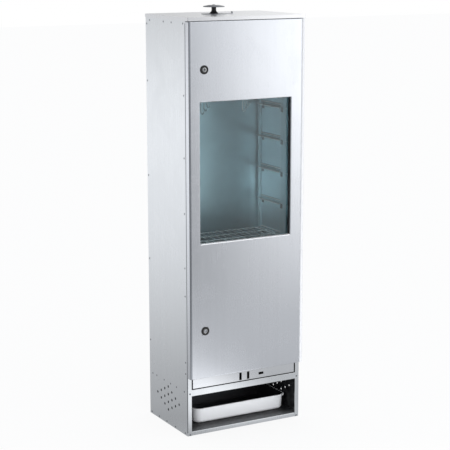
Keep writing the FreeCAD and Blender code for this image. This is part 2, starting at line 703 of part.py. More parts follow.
def lock(which):
    """Quarter-turn lock: housing, nut, turning core, cam and cam screw, on an axis along Y."""
    height = LOCK_HEIGHTS[which]
    centre = ("lock_x", height)
    housing = new_body(f"{which}_lock_housing")
    pad(housing, f"{which}_bezel", "XZ", "front - bezel_out", "front", circle(*centre, "bezel"))
    pad(housing, f"{which}_barrel", "XZ", "front", "door_back", circle(*centre, "housing"))
    pocket(housing, f"{which}_bore", "XZ", "front - bezel_out", "door_back",
           circle(*centre, "core + running_play"))
    hexagon_nut = prism(f"{which}_nut_hexagon", 6, "lock_nut_flat", "lock_nut", "Y",
                        "lock_x", "front + wall", height)
    nut_hole = cylinder(f"{which}_nut_hole", "housing", "lock_nut", "Y", "lock_x", "front + wall", height)
    nut = cut(f"{which}_lock_nut", hexagon_nut, nut_hole)
    core = new_body(f"{which}_lock_core")
    pad(core, f"{which}_core_round", "XZ", "front - bezel_out", "door_back", circle(*centre, "core"))
    tail = rectangle("lock_x - tail_side / 2", f"{height} - tail_side / 2",
                     "lock_x + tail_side / 2", f"{height} + tail_side / 2")
    pad(core, f"{which}_core_tail", "XZ", "door_back", "cam_back", tail)
    corner = "key_side / sqrt(2)"
    pocket(core, f"{which}_key_socket", "XZ", "front - bezel_out", "front - bezel_out + key_deep",
           polygon(("lock_x", f"{height} - {corner}"), (f"lock_x + {corner}", height),
                   ("lock_x", f"{height} + {corner}"), (f"lock_x - {corner}", height)))
    pocket(core, f"{which}_core_thread", "XZ", "cam_back - screw_long", "cam_back",
           circle(*centre, "screw"))
    bar = new_body(f"{which}_lock_cam")
    pad(bar, f"{which}_cam_bar", "XZ", "cam_y", "cam_back",
        rounded("lock_x - cam_width / 2", f"{height} - cam_reach", "lock_x + cam_width / 2",
                f"{height} + cam_heel", "cam_corner"))
    pocket(bar, f"{which}_cam_hole", "XZ", "cam_y", "cam_back", tail)
    head = prism(f"{which}_screw_head", 6, "screw_flat", "screw_head", "Y", "lock_x", "cam_back", height)
    shank = cylinder(f"{which}_screw_shank", "screw", "screw_long + screw_head", "Y", "lock_x",
                     "cam_back - screw_long", height)
    return [housing, nut, core, bar, fuse(f"{which}_cam_screw", [head, shank])]


locks = lock("upper") + lock("lower")

# Drawer


def drawer_front():
    """Front plate folded back along its upper edge, with two upright slots and a flat one."""
    part = new_body("drawer_front")
    corners = (("face", "drawer_low"), ("behind_face", "drawer_low"),
               ("behind_face", "drawer_high - wall"), ("behind_face + drawer_fold", "drawer_high - wall"),
               ("behind_face + drawer_fold", "drawer_high"), ("face", "drawer_high"))
    pad(part, "front_sheet", "YZ", "-drawer_half", "drawer_half", polygon(*corners))
    upright = [slot(f"{sign} * slot_apart / 2", "slot_z", "slot_tall / 2", "slot_width / 2")
               for sign in SIDES.values()]
    grip = rounded("grip_left", "slot_z - grip_tall / 2",
                   "grip_left + grip_width", "slot_z + grip_tall / 2", "grip_corner")
    pocket(part, "front_slots", "XZ", "face", "behind_face", *upright, grip)
    return part


def drawer_tray():
    """Sheet tray for the sawdust, open at the top and closed in front by the drawer front."""
    part = new_body("drawer_tray")
    pad(part, "tray_block", "XY", "tray_z", "tray_z + tray_tall",
        rectangle("-tray_half", "behind_face", "tray_half", "tray_back"))
    pocket(part, "tray_hollow", "XY", "tray_z + wall", "tray_z + tray_tall",
           rectangle("-tray_half + wall", "behind_face", "tray_half - wall", "tray_back - wall"))
    return part


def drawer_guide(side):
    """Angle on the shelf: the tray slides on its flat leg, between the upright legs."""
    sign = SIDES[side]
    part = new_body(f"{side}_drawer_guide")
    corners = (("guide_x - guide_ledge", "shelf_top"), ("guide_x + wall", "shelf_top"),
               ("guide_x + wall", "shelf_top + guide_tall"), ("guide_x", "shelf_top + guide_tall"),
               ("guide_x", "tray_z"), ("guide_x - guide_ledge", "tray_z"))
    pad(part, f"{side}_guide_angle", "XZ", "behind_face + wall", "tray_back",
        polygon(*((f"{sign} * ({x})", z) for x, z in corners)))
    return part


drawer = [drawer_front(), drawer_tray(), drawer_guide("left"), drawer_guide("right")]

# Smoking chamber


def rack(side):
    """Side rack: two uprights and a ladder of angle ledges, the same height left and right."""
    sign = SIDES[side]
    part = new_body(f"{side}_rack")

    uprights = (("front", "upright_y0", "upright_y1"), ("rear", "rack_y1 - ledge_wide", "rack_y1"))
    for name, y0, y1 in uprights:
        channel = (("inner", y0), ("inner - rack_proud", y0), ("inner - rack_proud", y1), ("inner", y1),
                   ("inner", f"{y1} - wall"), ("inner - rack_proud + wall", f"{y1} - wall"),
                   ("inner - rack_proud + wall", f"{y0} + wall"), ("inner", f"{y0} + wall"))
        pad(part, f"{side}_{name}_upright", "XY", "shelf_top", "body_tall - rack_top",
            polygon(*((f"{sign} * ({x})", y) for x, y in channel)))
    angle = (("inner", "ledge_z - wall"), ("ledge_inner", "ledge_z - wall"), ("ledge_inner", "ledge_z"),
             ("inner - wall", "ledge_z"), ("inner - wall", "ledge_z + ledge_tall"),
             ("inner", "ledge_z + ledge_tall"))
    section = polygon(*((f"{sign} * ({x})", z) for x, z in angle))
    runs = [pad(part, f"{side}_rear_ledge", "XZ", "upright_y1", "rack_y1", section),
            pad(part, f"{side}_front_ledge", "XZ", "rack_y0", "upright_y0", section)]
    repeat(part, f"{side}_ladder", runs, "Z", RACK_LEDGES, f"{RACK_LEDGES - 1} * ledge_step")
    return part


def spread(low, high, count):
    """Evenly spaced places between two expressions, both ends left out."""
    return [f"{low} + ({high} - {low}) * {index} / {count + 1}" for index in range(1, count + 1)]


def wire(name, radius, length, axis, x, y, z):
    """Straight wire with flats above and below, so that it lies flat on another one."""
    return prism(name, WIRE_SIDES, radius, length, axis, x, y, z, 180 / WIRE_SIDES)


def grate():
    """Wire grate: a rim with cross wires, and finer wires welded on top from front to back."""
    level = f"ledge_z + {GRATE_LEDGE_INDEX} * ledge_step + grate_rim"
    top = f"{level} + grate_rim + grate_wire - grate_sink"
    x0, x1 = "(-grate_half + grate_rim)", "(grate_half - grate_rim)"
    y0, y1 = "(grate_y0 + grate_rim)", "(grate_y1 - grate_rim)"
    wires = [wire(f"rim_wire_{index}", "grate_rim", "2 * grate_half", "X", "-grate_half", y, level)
             for index, y in enumerate((y0, y1))]
    wires += [wire(f"cross_wire_{index}", "grate_rim", f"{x1} - {x0}", "X", x0, y, level)
              for index, y in enumerate(spread(y0, y1, CROSS_WIRE_COUNT))]
    wires += [wire(f"side_wire_{index}", "grate_rim", f"{y1} - {y0}", "Y", x, y0, level)
              for index, x in enumerate((x0, x1))]
    wires += [wire(f"fine_wire_{index}", "grate_wire", f"{y1} - {y0}", "Y", x, y0, top)
              for index, x in enumerate(spread(x0, x1, FINE_WIRE_COUNT))]
    return fuse("grate", wires)


def drip_tray():
    """Shallow tray whose rim lies on the lowest ledges."""
    part = new_body("drip_tray")
    inside = ("-grate_half + drip_rim", "grate_y0 + drip_rim",
              "grate_half - drip_rim", "grate_y1 - drip_rim")
    pad(part, "drip_rim_sheet", "XY", "ledge_z", "ledge_z + wall",
        rectangle("-grate_half", "grate_y0", "grate_half", "grate_y1"))
    pad(part, "drip_block", "XY", "ledge_z - drip_deep", "ledge_z", rectangle(*inside))
    pocket(part, "drip_hollow", "XY", "ledge_z - drip_deep + wall", "ledge_z + wall",
           rectangle(f"{inside[0]} + wall", f"{inside[1]} + wall",
                     f"{inside[2]} - wall", f"{inside[3]} - wall"))
    return part


ROD_HEIGHT = f"ledge_z + {ROD_LEDGE_INDEX} * ledge_step + rod"


def rod_places():
    """Y of each hanging rod, counted from the body's middle."""
    return [f"middle + {index - (RODS - 1) / 2} * rod_step" for index in range(RODS)]


def hanging_rods():
    """Round rods that lie across the racks."""
    rods = [cylinder(f"rod_{index}", "rod", "2 * grate_half", "X", "-grate_half", y, ROD_HEIGHT)
            for index, y in enumerate(rod_places())]
    return group("hanging_rods", rods)


def half_turn(radius, centre, way):
    """Points on a half turn in the YZ plane, in a few straight steps, over (1) or under (-1) a centre."""
    angles = [math.pi * index / HOOK_STEPS for index in range(HOOK_STEPS + 1)]
    return [centre + Vector(0, radius * math.cos(angle), way * radius * math.sin(angle)) for angle in angles]


def hook_wire():
    """Centre line of one hook, from the rod's axis: half turn over the rod, shank, half turn under."""
    ring = number("rod + hook_play + hook_wire")
    bend = number("hook_bend")
    shank = number("hook_long")
    over = half_turn(ring / math.cos(math.pi / (2 * HOOK_STEPS)), Vector(), 1)
    under = half_turn(bend, Vector(0, -ring - bend, -shank), -1)
    return Part.makePolygon([over[0], *over[1:-1], Vector(0, -ring, 0), *under])


def hooks():
    """Bent wire hooks that hang on the rods, two to a rod, staggered from rod to rod."""
    path = hook_wire()
    start = path.Edges[0].valueAt(path.Edges[0].FirstParameter)
    reach = Vector(number("hook_wire"), 0, 0)
    section = [start + Rotation(Vector(0, 0, 1), 360 * index / HOOK_SIDES).multVec(reach)
               for index in range(HOOK_SIDES)]
    hook = path.makePipeShell([Part.makePolygon([*section, section[0]])], True, True, 1)
    copies = []
    for row, y in enumerate(rod_places()):
        for column in range(HOOKS_ON_A_ROD):
            sideways = column - (HOOKS_ON_A_ROD - 1) / 2 + (row - (RODS - 1) / 2) / RODS
            copy = hook.copy()
            copy.translate(Vector(number("hook_step") * sideways, number(y), number(ROD_HEIGHT)))
            copies.append(copy)
    item = document.addObject("Part::Feature", "hooks")
    item.Label = "hooks"
    item.Shape = Part.makeCompound(copies)
    return item


chamber = [rack("left"), rack("right"), grate(), drip_tray(), hanging_rods(), hooks()]

# Fire pan


def pan_outline(inset):
    """Rounded rectangle inside the pan's rim by an expression."""
    return rounded(f"pan_x0 + ({inset})", f"pan_y0 + ({inset})",
                   f"pan_x1 - ({inset})", f"pan_y0 + pan_wide - ({inset})",
                   f"pan_corner + pan_rim - ({inset})")


def pan_block(name, inset, bottom, slope):
    """Body of the pan's tapered inside or outside, with a slope about its bottom."""
    part = new_body(name)
    block = part.newObject("PartDesign::Pad", f"{name}_block")
    block.Profile = sketch_on(part, f"{name}_rim", "XY", "pan_top", [pan_outline(inset)])
    block.setExpression("Length", full(f"pan_top - ({bottom})"))
    block.setExpression("TaperAngle", full("-1 * pan_draft"))
    block.Reversed = True
    document.recompute()
    ground = number(bottom)
    ease_edges(part, "PartDesign::Chamfer", f"{name}_slope", slope,
               lambda edge: max(abs(edge.BoundBox.ZMin - ground), abs(edge.BoundBox.ZMax - ground)) < 1e-4)
    return part


def fire_pan():
    """Pressed pan with drawn-in sides, a slope about its bottom and a rim turned down at its edge."""
    outside = pan_block("pan_outside", "pan_rim", "sill", "pan_bottom")
    pad(outside, "pan_rim_sheet", "XY", "pan_top - pan_wall", "pan_top", pan_outline("0"))
    pad(outside, "pan_rim_edge", "XY", "pan_top - pan_curl", "pan_top - pan_wall",
        pan_outline("0"), pan_outline("pan_wall"))
    inside = pan_block("pan_inside", "pan_rim + pan_wall", "sill + pan_wall", "pan_bottom")
    return cut("fire_pan", outside, inside)


pan = [fire_pan()]

# Vent


def damper_plate():
    """Disc with the smoke holes, a tab turned up at its end and an arc slot for the stop stud."""
    part = new_body("damper_plate")
    pad(part, "damper_disc", "XY", "cover_top", "damper_top", circle("vent_x", "middle", "damper"))
    pad(part, "damper_tab", "XY", "cover_top", "damper_top",
        rectangle("vent_x", "middle - tab_width / 2", "vent_x + damper_tab", "middle + tab_width / 2"))
    pad(part, "damper_tip", "XY", "damper_top", "damper_top + tab_tip",
        rectangle("vent_x + damper_tab - damper_wall", "middle - tab_width / 2", "vent_x + damper_tab",
                  "middle + tab_width / 2"))
    holes = [circle(x, y, "vent_hole") for x, y in ring_spots(SMOKE_HOLES, "vent_ring", 0.0)]
    pocket(part, "damper_holes", "XY", "cover_top", "damper_top",
           circle("vent_x", "middle", "spindle"), *holes)
    pocket(part, "stop_slot", "XY", "cover_top", "damper_top", arc_slot("stop_ring", "stop_stud + stop_play"))
    return part


def arc_slot(ring, radius):
    """Slot along an arc about the vent's axis, from the stop stud's rest place back by the damper's turn."""
    def draw(sketch):
        centre = Vector(number("vent_x"), number("middle"), 0)
        mid, half = number(ring), number(radius)
        start = math.radians(DAMPER_TURN)
        end = math.radians(2 * DAMPER_TURN)
        up = Vector(0, 0, 1)
        first = sketch.GeometryCount

        def at(angle):
            return centre + Vector(mid * math.cos(angle), mid * math.sin(angle), 0)

        arcs = ((centre, mid + half, start, end), (at(end), half, end, end + math.pi),
                (centre, mid - half, start, end), (at(start), half, start + math.pi, start + 2 * math.pi))
        for middle, size, low, high in arcs:
            sketch.addGeometry(Part.ArcOfCircle(Part.Circle(middle, up, size), low, high))
        for curve in range(4):
            sketch.addConstraint(Sketcher.Constraint("Block", first + curve))
    return draw


def damper_knob():
    """Black knob: a cone that narrows to a post, bored for the spindle."""
    part = new_body("damper_knob")
    revolve(part, "knob_turned", "vent_x", "middle",
            polygon(("spindle", "damper_top"), ("knob_foot", "damper_top"),
                    ("knob_foot", "damper_top + knob_edge"), ("knob_post", "damper_top + knob_cone"),
                    ("knob_post", "cap_z"), ("spindle", "cap_z")))
    return part


def knob_cap():
    """Pressed round cap with a flat top, a sloping shoulder and a turned-down edge."""
    part = new_body("knob_cap")
    revolve(part, "cap_turned", "vent_x", "middle",
            polygon(("spindle", "cap_z"), ("cap_flat", "cap_z"),
                    ("cap - cap_wall", "cap_z - cap_crown + cap_edge"),
                    ("cap - cap_wall", "cap_z - cap_crown"), ("cap", "cap_z - cap_crown"),
                    ("cap", "cap_z - cap_crown + cap_edge + cap_wall"), ("cap_flat", "cap_z + cap_wall"),
                    ("spindle", "cap_z + cap_wall")))
    return part


def damper_spindle():
    """Round-headed screw through the cap, the knob, the plate and the cover."""
    part = new_body("damper_spindle")
    foot = "body_tall - washer_wall - damper_nut"
    top = "cap_z + cap_wall"
    revolve(part, "spindle_turned", "vent_x", "middle",
            polygon(("0", foot), ("spindle", foot), ("spindle", top), ("spindle_head", top),
                    ("spindle_crown", f"{top} + spindle_dome"), ("0", f"{top} + spindle_dome")))
    return part


def damper_washer():
    """Flat washer under the cover."""
    low = "body_tall - washer_wall"
    disc, hole = (cylinder(f"washer_{name}", radius, "washer_wall", "Z", "vent_x", "middle", low)
                  for name, radius in (("disc", "washer"), ("hole", "spindle")))
    return cut("damper_washer", disc, hole)


def damper_nut():
    """Hexagon nut on the spindle's lower end."""
    low = "body_tall - washer_wall - damper_nut"
    hexagon = prism("nut_hexagon", 6, "damper_nut_flat", "damper_nut", "Z", "vent_x", "middle", low)
    hole = cylinder("nut_hole", "spindle", "damper_nut", "Z", "vent_x", "middle", low)
    return cut("damper_nut", hexagon, hole)


vent = [damper_plate(), damper_knob(), knob_cap(), damper_spindle(), damper_washer(), damper_nut()]

# Checks and files

document.recompute()
for item in document.Objects:
    if "Invalid" in item.State or "Error" in item.State:
        raise RuntimeError(f"{item.Label} failed: {item.State}")

os.makedirs("parts", exist_ok=True)
for item in cabinet + door + hinge + locks + drawer + chamber + pan + vent:
    shape = item.Shape
    if shape.isNull() or not shape.isValid() or not shape.Solids:
        raise RuntimeError(f"{item.Label} has no valid solid")
    shape.exportStep(f"parts/{item.Label}.step")
    print(f"{item.Label}: {len(shape.Solids)} solid(s), {shape.Volume:.0f} mm3")
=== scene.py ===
# %% [markdown]
# # A food smoker of folded stainless sheet
#
# The real object is a tall, narrow cabinet, brushed outside and smoke-stained inside, with a window in its
# door, a thin drawer for sawdust, an open fire box with a pressed pan and a vent on its roof. Its inside and
# some edges also get painted shade, and a few parts a painted highlight. The rigid model fixes every size.
# This lesson gives each sheet its finish and rebuilds the pieces that need curves.

# %% Load the frame
import json
import math

import bmesh
import bpy
from mathutils import Matrix, Vector


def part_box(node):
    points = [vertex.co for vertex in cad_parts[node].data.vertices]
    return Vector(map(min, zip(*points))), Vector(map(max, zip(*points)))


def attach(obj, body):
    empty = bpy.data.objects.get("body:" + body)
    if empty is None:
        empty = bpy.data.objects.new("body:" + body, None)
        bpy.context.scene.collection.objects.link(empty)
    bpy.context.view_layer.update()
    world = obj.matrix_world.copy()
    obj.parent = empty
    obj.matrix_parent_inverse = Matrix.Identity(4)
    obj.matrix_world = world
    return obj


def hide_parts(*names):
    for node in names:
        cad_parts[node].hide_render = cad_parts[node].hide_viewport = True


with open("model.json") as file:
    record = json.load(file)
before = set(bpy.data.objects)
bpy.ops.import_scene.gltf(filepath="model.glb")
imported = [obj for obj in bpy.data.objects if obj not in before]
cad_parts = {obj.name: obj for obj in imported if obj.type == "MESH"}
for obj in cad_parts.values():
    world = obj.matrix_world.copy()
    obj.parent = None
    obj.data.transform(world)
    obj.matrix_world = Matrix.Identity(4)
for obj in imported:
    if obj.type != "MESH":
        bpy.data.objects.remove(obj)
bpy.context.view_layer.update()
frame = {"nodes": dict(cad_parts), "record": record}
nodes = frame["nodes"]
print("nodes:", len(nodes))

# %% [markdown]
# ## The camera
#
# The photograph was taken with a long lens from the left front, a little above the door's middle. The same
# place and lens give the same outline. The lens isn't shifted, so that other views stay centred.

# %% Camera
MM = 0.001
IMAGE_SIDE = 450
SENSOR = 36.0
FOCAL_PIXELS = 1396.0
CAMERA_PLACE = Vector((-2.017, -3.664, 1.453))
CAMERA_TURN = math.radians(-28.82)
CAMERA_RISE = math.radians(11.42)
CAMERA_ROLL = math.radians(-0.09)

backward = Vector((math.sin(CAMERA_TURN) * math.cos(CAMERA_RISE),
                   -math.cos(CAMERA_TURN) * math.cos(CAMERA_RISE), math.sin(CAMERA_RISE)))
rightward = (-backward).cross(Vector((0, 0, 1))).normalized()
upward = backward.cross(rightward)
look = Matrix((rightward, upward, backward)).transposed() @ Matrix.Rotation(CAMERA_ROLL, 3, "Z")

lens = bpy.data.cameras.new("photo_camera")
lens.sensor_width = SENSOR
lens.lens = FOCAL_PIXELS * SENSOR / IMAGE_SIDE
camera = bpy.data.objects.new("photo_camera", lens)
camera.matrix_world = Matrix.Translation(CAMERA_PLACE) @ look.to_4x4()
scene = bpy.context.scene
scene.collection.objects.link(camera)
scene.camera = camera
print(f"lens {lens.lens:.1f} mm, camera {CAMERA_PLACE.length:.2f} m from the origin")

# %% [markdown]
# ## Helpers for shader nodes
#
# A material is a small tree of nodes. `put` adds one node and `feed` sets its plain inputs and links the
# others, so a tree reads like a recipe. A mask is 1 where something happens and 0 elsewhere, and masks are
# combined by multiplying.

# %% Node helpers


def feed(tree, sockets, **inputs):
    """Sets or links inputs. Each gets a value or another node's output. _0 is the first input."""
    for name, value in inputs.items():
        socket = sockets[int(name[1:]) if name[0] == "_" else name.replace("_", " ")]
        if isinstance(value, bpy.types.NodeSocket):
            tree.links.new(value, socket)
        else:
            socket.default_value = value


def put(tree, kind, settings=None, **inputs):
    """Adds a shader node of a kind. settings are its own properties."""
    node = tree.nodes.new("ShaderNode" + kind)
    for name, value in (settings or {}).items():
        setattr(node, name, value)
    feed(tree, node.inputs, **inputs)
    return node


def maths(tree, operation, first, second=0.5, third=0.5):
    """One step of arithmetic."""
    return put(tree, "Math", {"operation": operation}, _0=first, _1=second, _2=third).outputs[0]


def product(tree, first, *others):
    """Several values multiplied."""
    for other in others:
        first = maths(tree, "MULTIPLY", first, other)
    return first


def remap(tree, value, low, high, new_low=0.0, new_high=1.0):
    """Moves a value from one range to another and clamps it."""
    return put(tree, "MapRange", Value=value, From_Min=low, From_Max=high,
               To_Min=new_low, To_Max=new_high).outputs["Result"]


def mix(tree, factor, first, second):
    """Colour between two colours, which are the node's inputs 6 and 7. Its output 2 is their mixture."""
    return put(tree, "Mix", {"data_type": "RGBA"}, _0=factor, _6=first, _7=second).outputs[2]


def noise(tree, where, scale, detail, **inputs):
    """Value of a cloud of noise."""
    return put(tree, "TexNoise", Vector=where, Scale=scale, Detail=detail, **inputs).outputs["Fac"]


def axes(tree, where):
    """X, Y and Z of a place."""
    return put(tree, "SeparateXYZ", Vector=where).outputs


def coordinates(tree, kind="Object"):
    """Place of a point, on its object unless another kind is named."""
    return put(tree, "TexCoord").outputs[kind]


def new_group(name, inputs, outputs):
    """Empty shader node group with named sockets. Returns the group, its inputs and its outputs."""
    group = bpy.data.node_groups.new(name, "ShaderNodeTree")
    for way, sockets in (("INPUT", inputs), ("OUTPUT", outputs)):
        for label, kind in sockets:
            group.interface.new_socket(label, in_out=way, socket_type="NodeSocket" + kind)
    return group, group.nodes.new("NodeGroupInput").outputs, group.nodes.new("NodeGroupOutput").inputs


def use_group(tree, group, **inputs):
    """Places a group in a tree. Returns its outputs."""
    return put(tree, "Group", {"node_tree": group}, **inputs).outputs


# %% [markdown]
# ## Brushed grain
#
# Brushing leaves fine scratches that all run one way. Noise that is stretched a hundred times that way gives
# them, in two sizes: hair-fine scratches, and wide soft streaks where the belt pressed harder. Every sheet
# uses the group, each with its own direction.

# %% Group: brushed grain
grain_group, grain_in, grain_out = new_group(
    "Brushed grain", [("Vector", "Vector"), ("Stretch", "Vector")], [("Grain", "Float"), ("Streak", "Float")])
stretched = put(grain_group, "VectorMath", {"operation": "MULTIPLY"},
                _0=grain_in["Vector"], _1=grain_in["Stretch"]).outputs[0]
feed(grain_group, grain_out, Grain=noise(grain_group, stretched, 1400.0, 3.0, Roughness=0.65),
     Streak=noise(grain_group, stretched, 70.0, 2.0, Roughness=0.5))
print("group:", grain_group.name)

# %% [markdown]
# ## Handling marks
#
# Sheet that people wipe and touch has soft, cloudy patches where it is a little duller. Slow noise gives
# them.

# %% Group: handling marks
marks_group, marks_in, marks_out = new_group(
    "Handling marks", [("Vector", "Vector"), ("Size", "Float")], [("Marks", "Float")])
clouds = noise(marks_group, marks_in["Vector"], marks_in["Size"], 5.0, Roughness=0.6, Distortion=0.6)
feed(marks_group, marks_out, Marks=remap(marks_group, clouds, 0.42, 0.72))
print("group:", marks_group.name)

# %% [markdown]
# ## Soot, smoke film and painted shade
#
# Only the inside meets the smoke. The fire box turns black as soot and painted shade. Painted light
# leaves it less black on its floor at the open front and greyer toward its left wall. The chamber gets a
# thin, blue-grey film whose tones are also painted shade and light: darkest low down, pale on the side
# walls below about 0.62 m. The group finds the inside from the place of a point, so one material serves
# both faces of a sheet.

# %% Group: smoke film and painted shade
side_low, side_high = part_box("left_side_panel")
INSIDE_X = -side_low.x - 0.5 * MM
INSIDE_Y = side_low.y + 1.5 * MM
OUTSIDE_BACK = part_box("back_panel")[1].y - 0.5 * MM
DRAWER_ROOM_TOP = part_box("drawer_front")[1].z + 1.0 * MM
ROOF = side_high.z + 0.3 * MM
# Painted light: the fire box floor is less black this far behind its open front.
LIT_FLOOR_STRIP = 36 * MM
# Soot tones: the grey is painted light at the left, and the black is soot and painted shade.
SOOT_LIT_GREY = (0.085, 0.090, 0.105, 1)
SOOT_SHADE_BLACK = (0.005, 0.005, 0.006, 1)
# Film tones, which also paint shade and light: dark low down, pale on the lower side walls.
FILM_SHADE_LOW = (0.02, 0.06, 0.09, 1)
FILM_LIT_SIDES = (0.78, 0.95, 1.0, 1)
FILM_UPPER = (0.42, 0.56, 0.61, 1)

film_and_shade, film_in, film_out = new_group(
    "Smoke film", [("Vector", "Vector"), ("Color", "Color"), ("Roughness", "Float")],
    [("Color", "Color"), ("Roughness", "Float"), ("Metallic", "Float")])
x, y, z = axes(film_and_shade, film_in["Vector"])
from_middle = maths(film_and_shade, "ABSOLUTE", x)
inside = product(film_and_shade, maths(film_and_shade, "LESS_THAN", from_middle, INSIDE_X),
                 maths(film_and_shade, "GREATER_THAN", y, INSIDE_Y), maths(film_and_shade, "LESS_THAN", y, OUTSIDE_BACK),
                 maths(film_and_shade, "LESS_THAN", z, ROOF))
in_fire_box = maths(film_and_shade, "LESS_THAN", z, DRAWER_ROOM_TOP)
on_wall = remap(film_and_shade, z, 14 * MM, 20 * MM)
# Painted light: on the floor near the open front the soot is lighter.
depth = maths(film_and_shade, "MAXIMUM", on_wall, remap(film_and_shade, y, INSIDE_Y, INSIDE_Y + LIT_FLOOR_STRIP, 0.80, 1.0))
flakes = noise(film_and_shade, film_in["Vector"], 60.0, 6.0, Roughness=0.7)
soot_and_shade = product(film_and_shade, inside, in_fire_box, depth, remap(film_and_shade, flakes, 0.3, 0.6, 0.93, 1.0))
smoke_and_shade = product(film_and_shade, inside, maths(film_and_shade, "SUBTRACT", 1.0, in_fire_box))

# Painted shade and light in the chamber: darkest below 0.32 m, pale on the side walls under 0.62 m.
on_middle = remap(film_and_shade, from_middle, 160 * MM, 190 * MM, 1.0, 0.0)
upper = maths(film_and_shade, "MAXIMUM", remap(film_and_shade, z, 0.62, 0.80), on_middle)
film_and_shade_tone = mix(film_and_shade, remap(film_and_shade, z, 0.32, 0.57), FILM_SHADE_LOW, mix(film_and_shade, upper, FILM_LIT_SIDES, FILM_UPPER))
stain_and_shade = mix(film_and_shade, product(film_and_shade, smoke_and_shade, 0.75), film_in["Color"], film_and_shade_tone)
# Painted light: the soot turns grey toward the left wall.
painted_light_left = product(film_and_shade, remap(film_and_shade, x, -50 * MM, 140 * MM, 1.0, 0.0), on_wall)
soot_and_shade_tone = mix(film_and_shade, soot_and_shade, stain_and_shade, mix(film_and_shade, painted_light_left, SOOT_SHADE_BLACK, SOOT_LIT_GREY))
dulled = maths(film_and_shade, "MULTIPLY_ADD", smoke_and_shade, 0.12, film_in["Roughness"])
feed(film_and_shade, film_out, Color=soot_and_shade_tone, Roughness=maths(film_and_shade, "MULTIPLY_ADD", soot_and_shade, 0.3, dulled),
     Metallic=maths(film_and_shade, "MULTIPLY_ADD", soot_and_shade, -0.9, 1.0))
print(f"smoke film: inside x < {INSIDE_X:.4f}, y > {INSIDE_Y:.4f}, soot under {DRAWER_ROOM_TOP:.4f}")

# %% [markdown]
# ## Steel
#
# Every steel is the Principled shader, mostly with metal on. What changes is the colour, how rough it is,
# which way the grain runs and whether the smoke film, soot and painted shade of the inside reach it. The
# scratches bend the light through a bump, and change the roughness and the tone a little.

# %% Steel materials
UPRIGHT = (1.0, 1.0, 0.01)
LEVEL = (0.01, 1.0, 1.0)
DEEP = (1.0, 0.01, 1.0)


def new_material(name):
    """Principled material with its tree, its shader and the place of a point on the object."""
    material = bpy.data.materials.new(name)
    material.use_nodes = True
    tree = material.node_tree
    return material, tree, tree.nodes["Principled BSDF"], coordinates(tree)


def lighter(colour, factor):
    """Colour times a factor, with full cover."""
    return tuple(min(1.0, factor * part) for part in colour) + (1,)


def bumped(tree, strength, distance, height):
    """Normal of a surface with a fine relief."""
    return put(tree, "Bump", Strength=strength, Distance=distance, Height=height).outputs["Normal"]


def steel(name, colour, roughness, grain=UPRIGHT, metallic=None, marks_size=9.0):
    """Brushed steel. grain is the stretch of the scratches: the small number is the way they run. The smoke
    film, soot and painted shade of the inside reach a steel for which no metallic is given."""
    material, tree, shader, where = new_material(name)
    brushed = use_group(tree, grain_group, Vector=where, Stretch=grain)
    touched = use_group(tree, marks_group, Vector=where, Size=marks_size)
    tone = mix(tree, brushed["Streak"], lighter(colour, 0.97), lighter(colour, 1.02))
    rough = remap(tree, brushed["Grain"], 0.2, 0.8, roughness - 0.05, roughness + 0.05)
    rough = maths(tree, "MULTIPLY_ADD", touched["Marks"], 0.05, rough)
    if metallic is None:
        tone, rough, metallic = use_group(tree, film_and_shade, Vector=where, Color=tone, Roughness=rough)
    feed(tree, shader.inputs, Base_Color=tone, Roughness=rough, Metallic=metallic,
         Normal=bumped(tree, 0.03, 0.2 * MM, brushed["Grain"]))
    return material


finishes = {row[0]: steel(*row) for row in (
    ("cabinet_steel", (0.79, 0.815, 0.84), 0.28),
    ("cover_steel", (0.80, 0.81, 0.83), 0.28, LEVEL),
    ("door_steel", (0.745, 0.77, 0.815), 0.24),
    ("liner_steel", (0.66, 0.67, 0.69), 0.38),
    # Painted light: the hinge steel is near-white and mostly not metallic, so the hinge edge reads pale grey.
    ("hinge_steel", (0.93, 0.94, 0.96), 0.50, UPRIGHT, 0.35),
    ("lock_zinc", (0.68, 0.68, 0.66), 0.35, UPRIGHT, 1.0),
    ("drawer_steel", (0.76, 0.78, 0.81), 0.21, LEVEL),
    ("rack_steel", (0.68, 0.71, 0.72), 0.34, DEEP),
    # Painted highlight: the rack beads are near-white and not metallic.
    ("bead_steel", (0.97, 0.98, 0.98), 0.45, DEEP, 0.0),
    ("clip_steel", (0.22, 0.24, 0.25), 0.40, LEVEL, 1.0),
    ("pan_steel", (0.95, 0.96, 0.98), 0.50, LEVEL, 0.15, 60.0),
    ("damper_steel", (0.42, 0.43, 0.45), 0.30, LEVEL, 1.0),
    ("cap_steel", (0.20, 0.21, 0.23), 0.35, LEVEL, 1.0),
    ("rivet_steel", (0.22, 0.23, 0.25), 0.35, LEVEL, 1.0),
    # Painted shade round the air holes: nearly black.
    ("burnt_steel", (0.03, 0.032, 0.035), 0.50, LEVEL, 0.2))}
print("steels:", ", ".join(finishes))

# %% [markdown]
# ## Rack ledges
#
# Some finishes change in one place only. `reopen` takes a finish up again, `paint` lays a colour over its
# own by a mask, and `shift` moves another input. The racks' ledges get a painted highlight: a pale, less
# metallic band on their tops. They are found by the height over the nearest ledge and the distance to the
# side sheet.

# %% Painted highlight on the ledges


def reopen(finish):
    """A finish's tree and shader, and X, Y and Z of a point."""
    tree = finishes[finish].node_tree
    return tree, tree.nodes["Principled BSDF"], *axes(tree, coordinates(tree))


def paint(tree, shader, mask, colour):
    """Lays a colour over the shader's own where a mask is 1."""
    own = shader.inputs["Base Color"].links[0].from_socket
    feed(tree, shader.inputs, Base_Color=mix(tree, mask, own, colour))


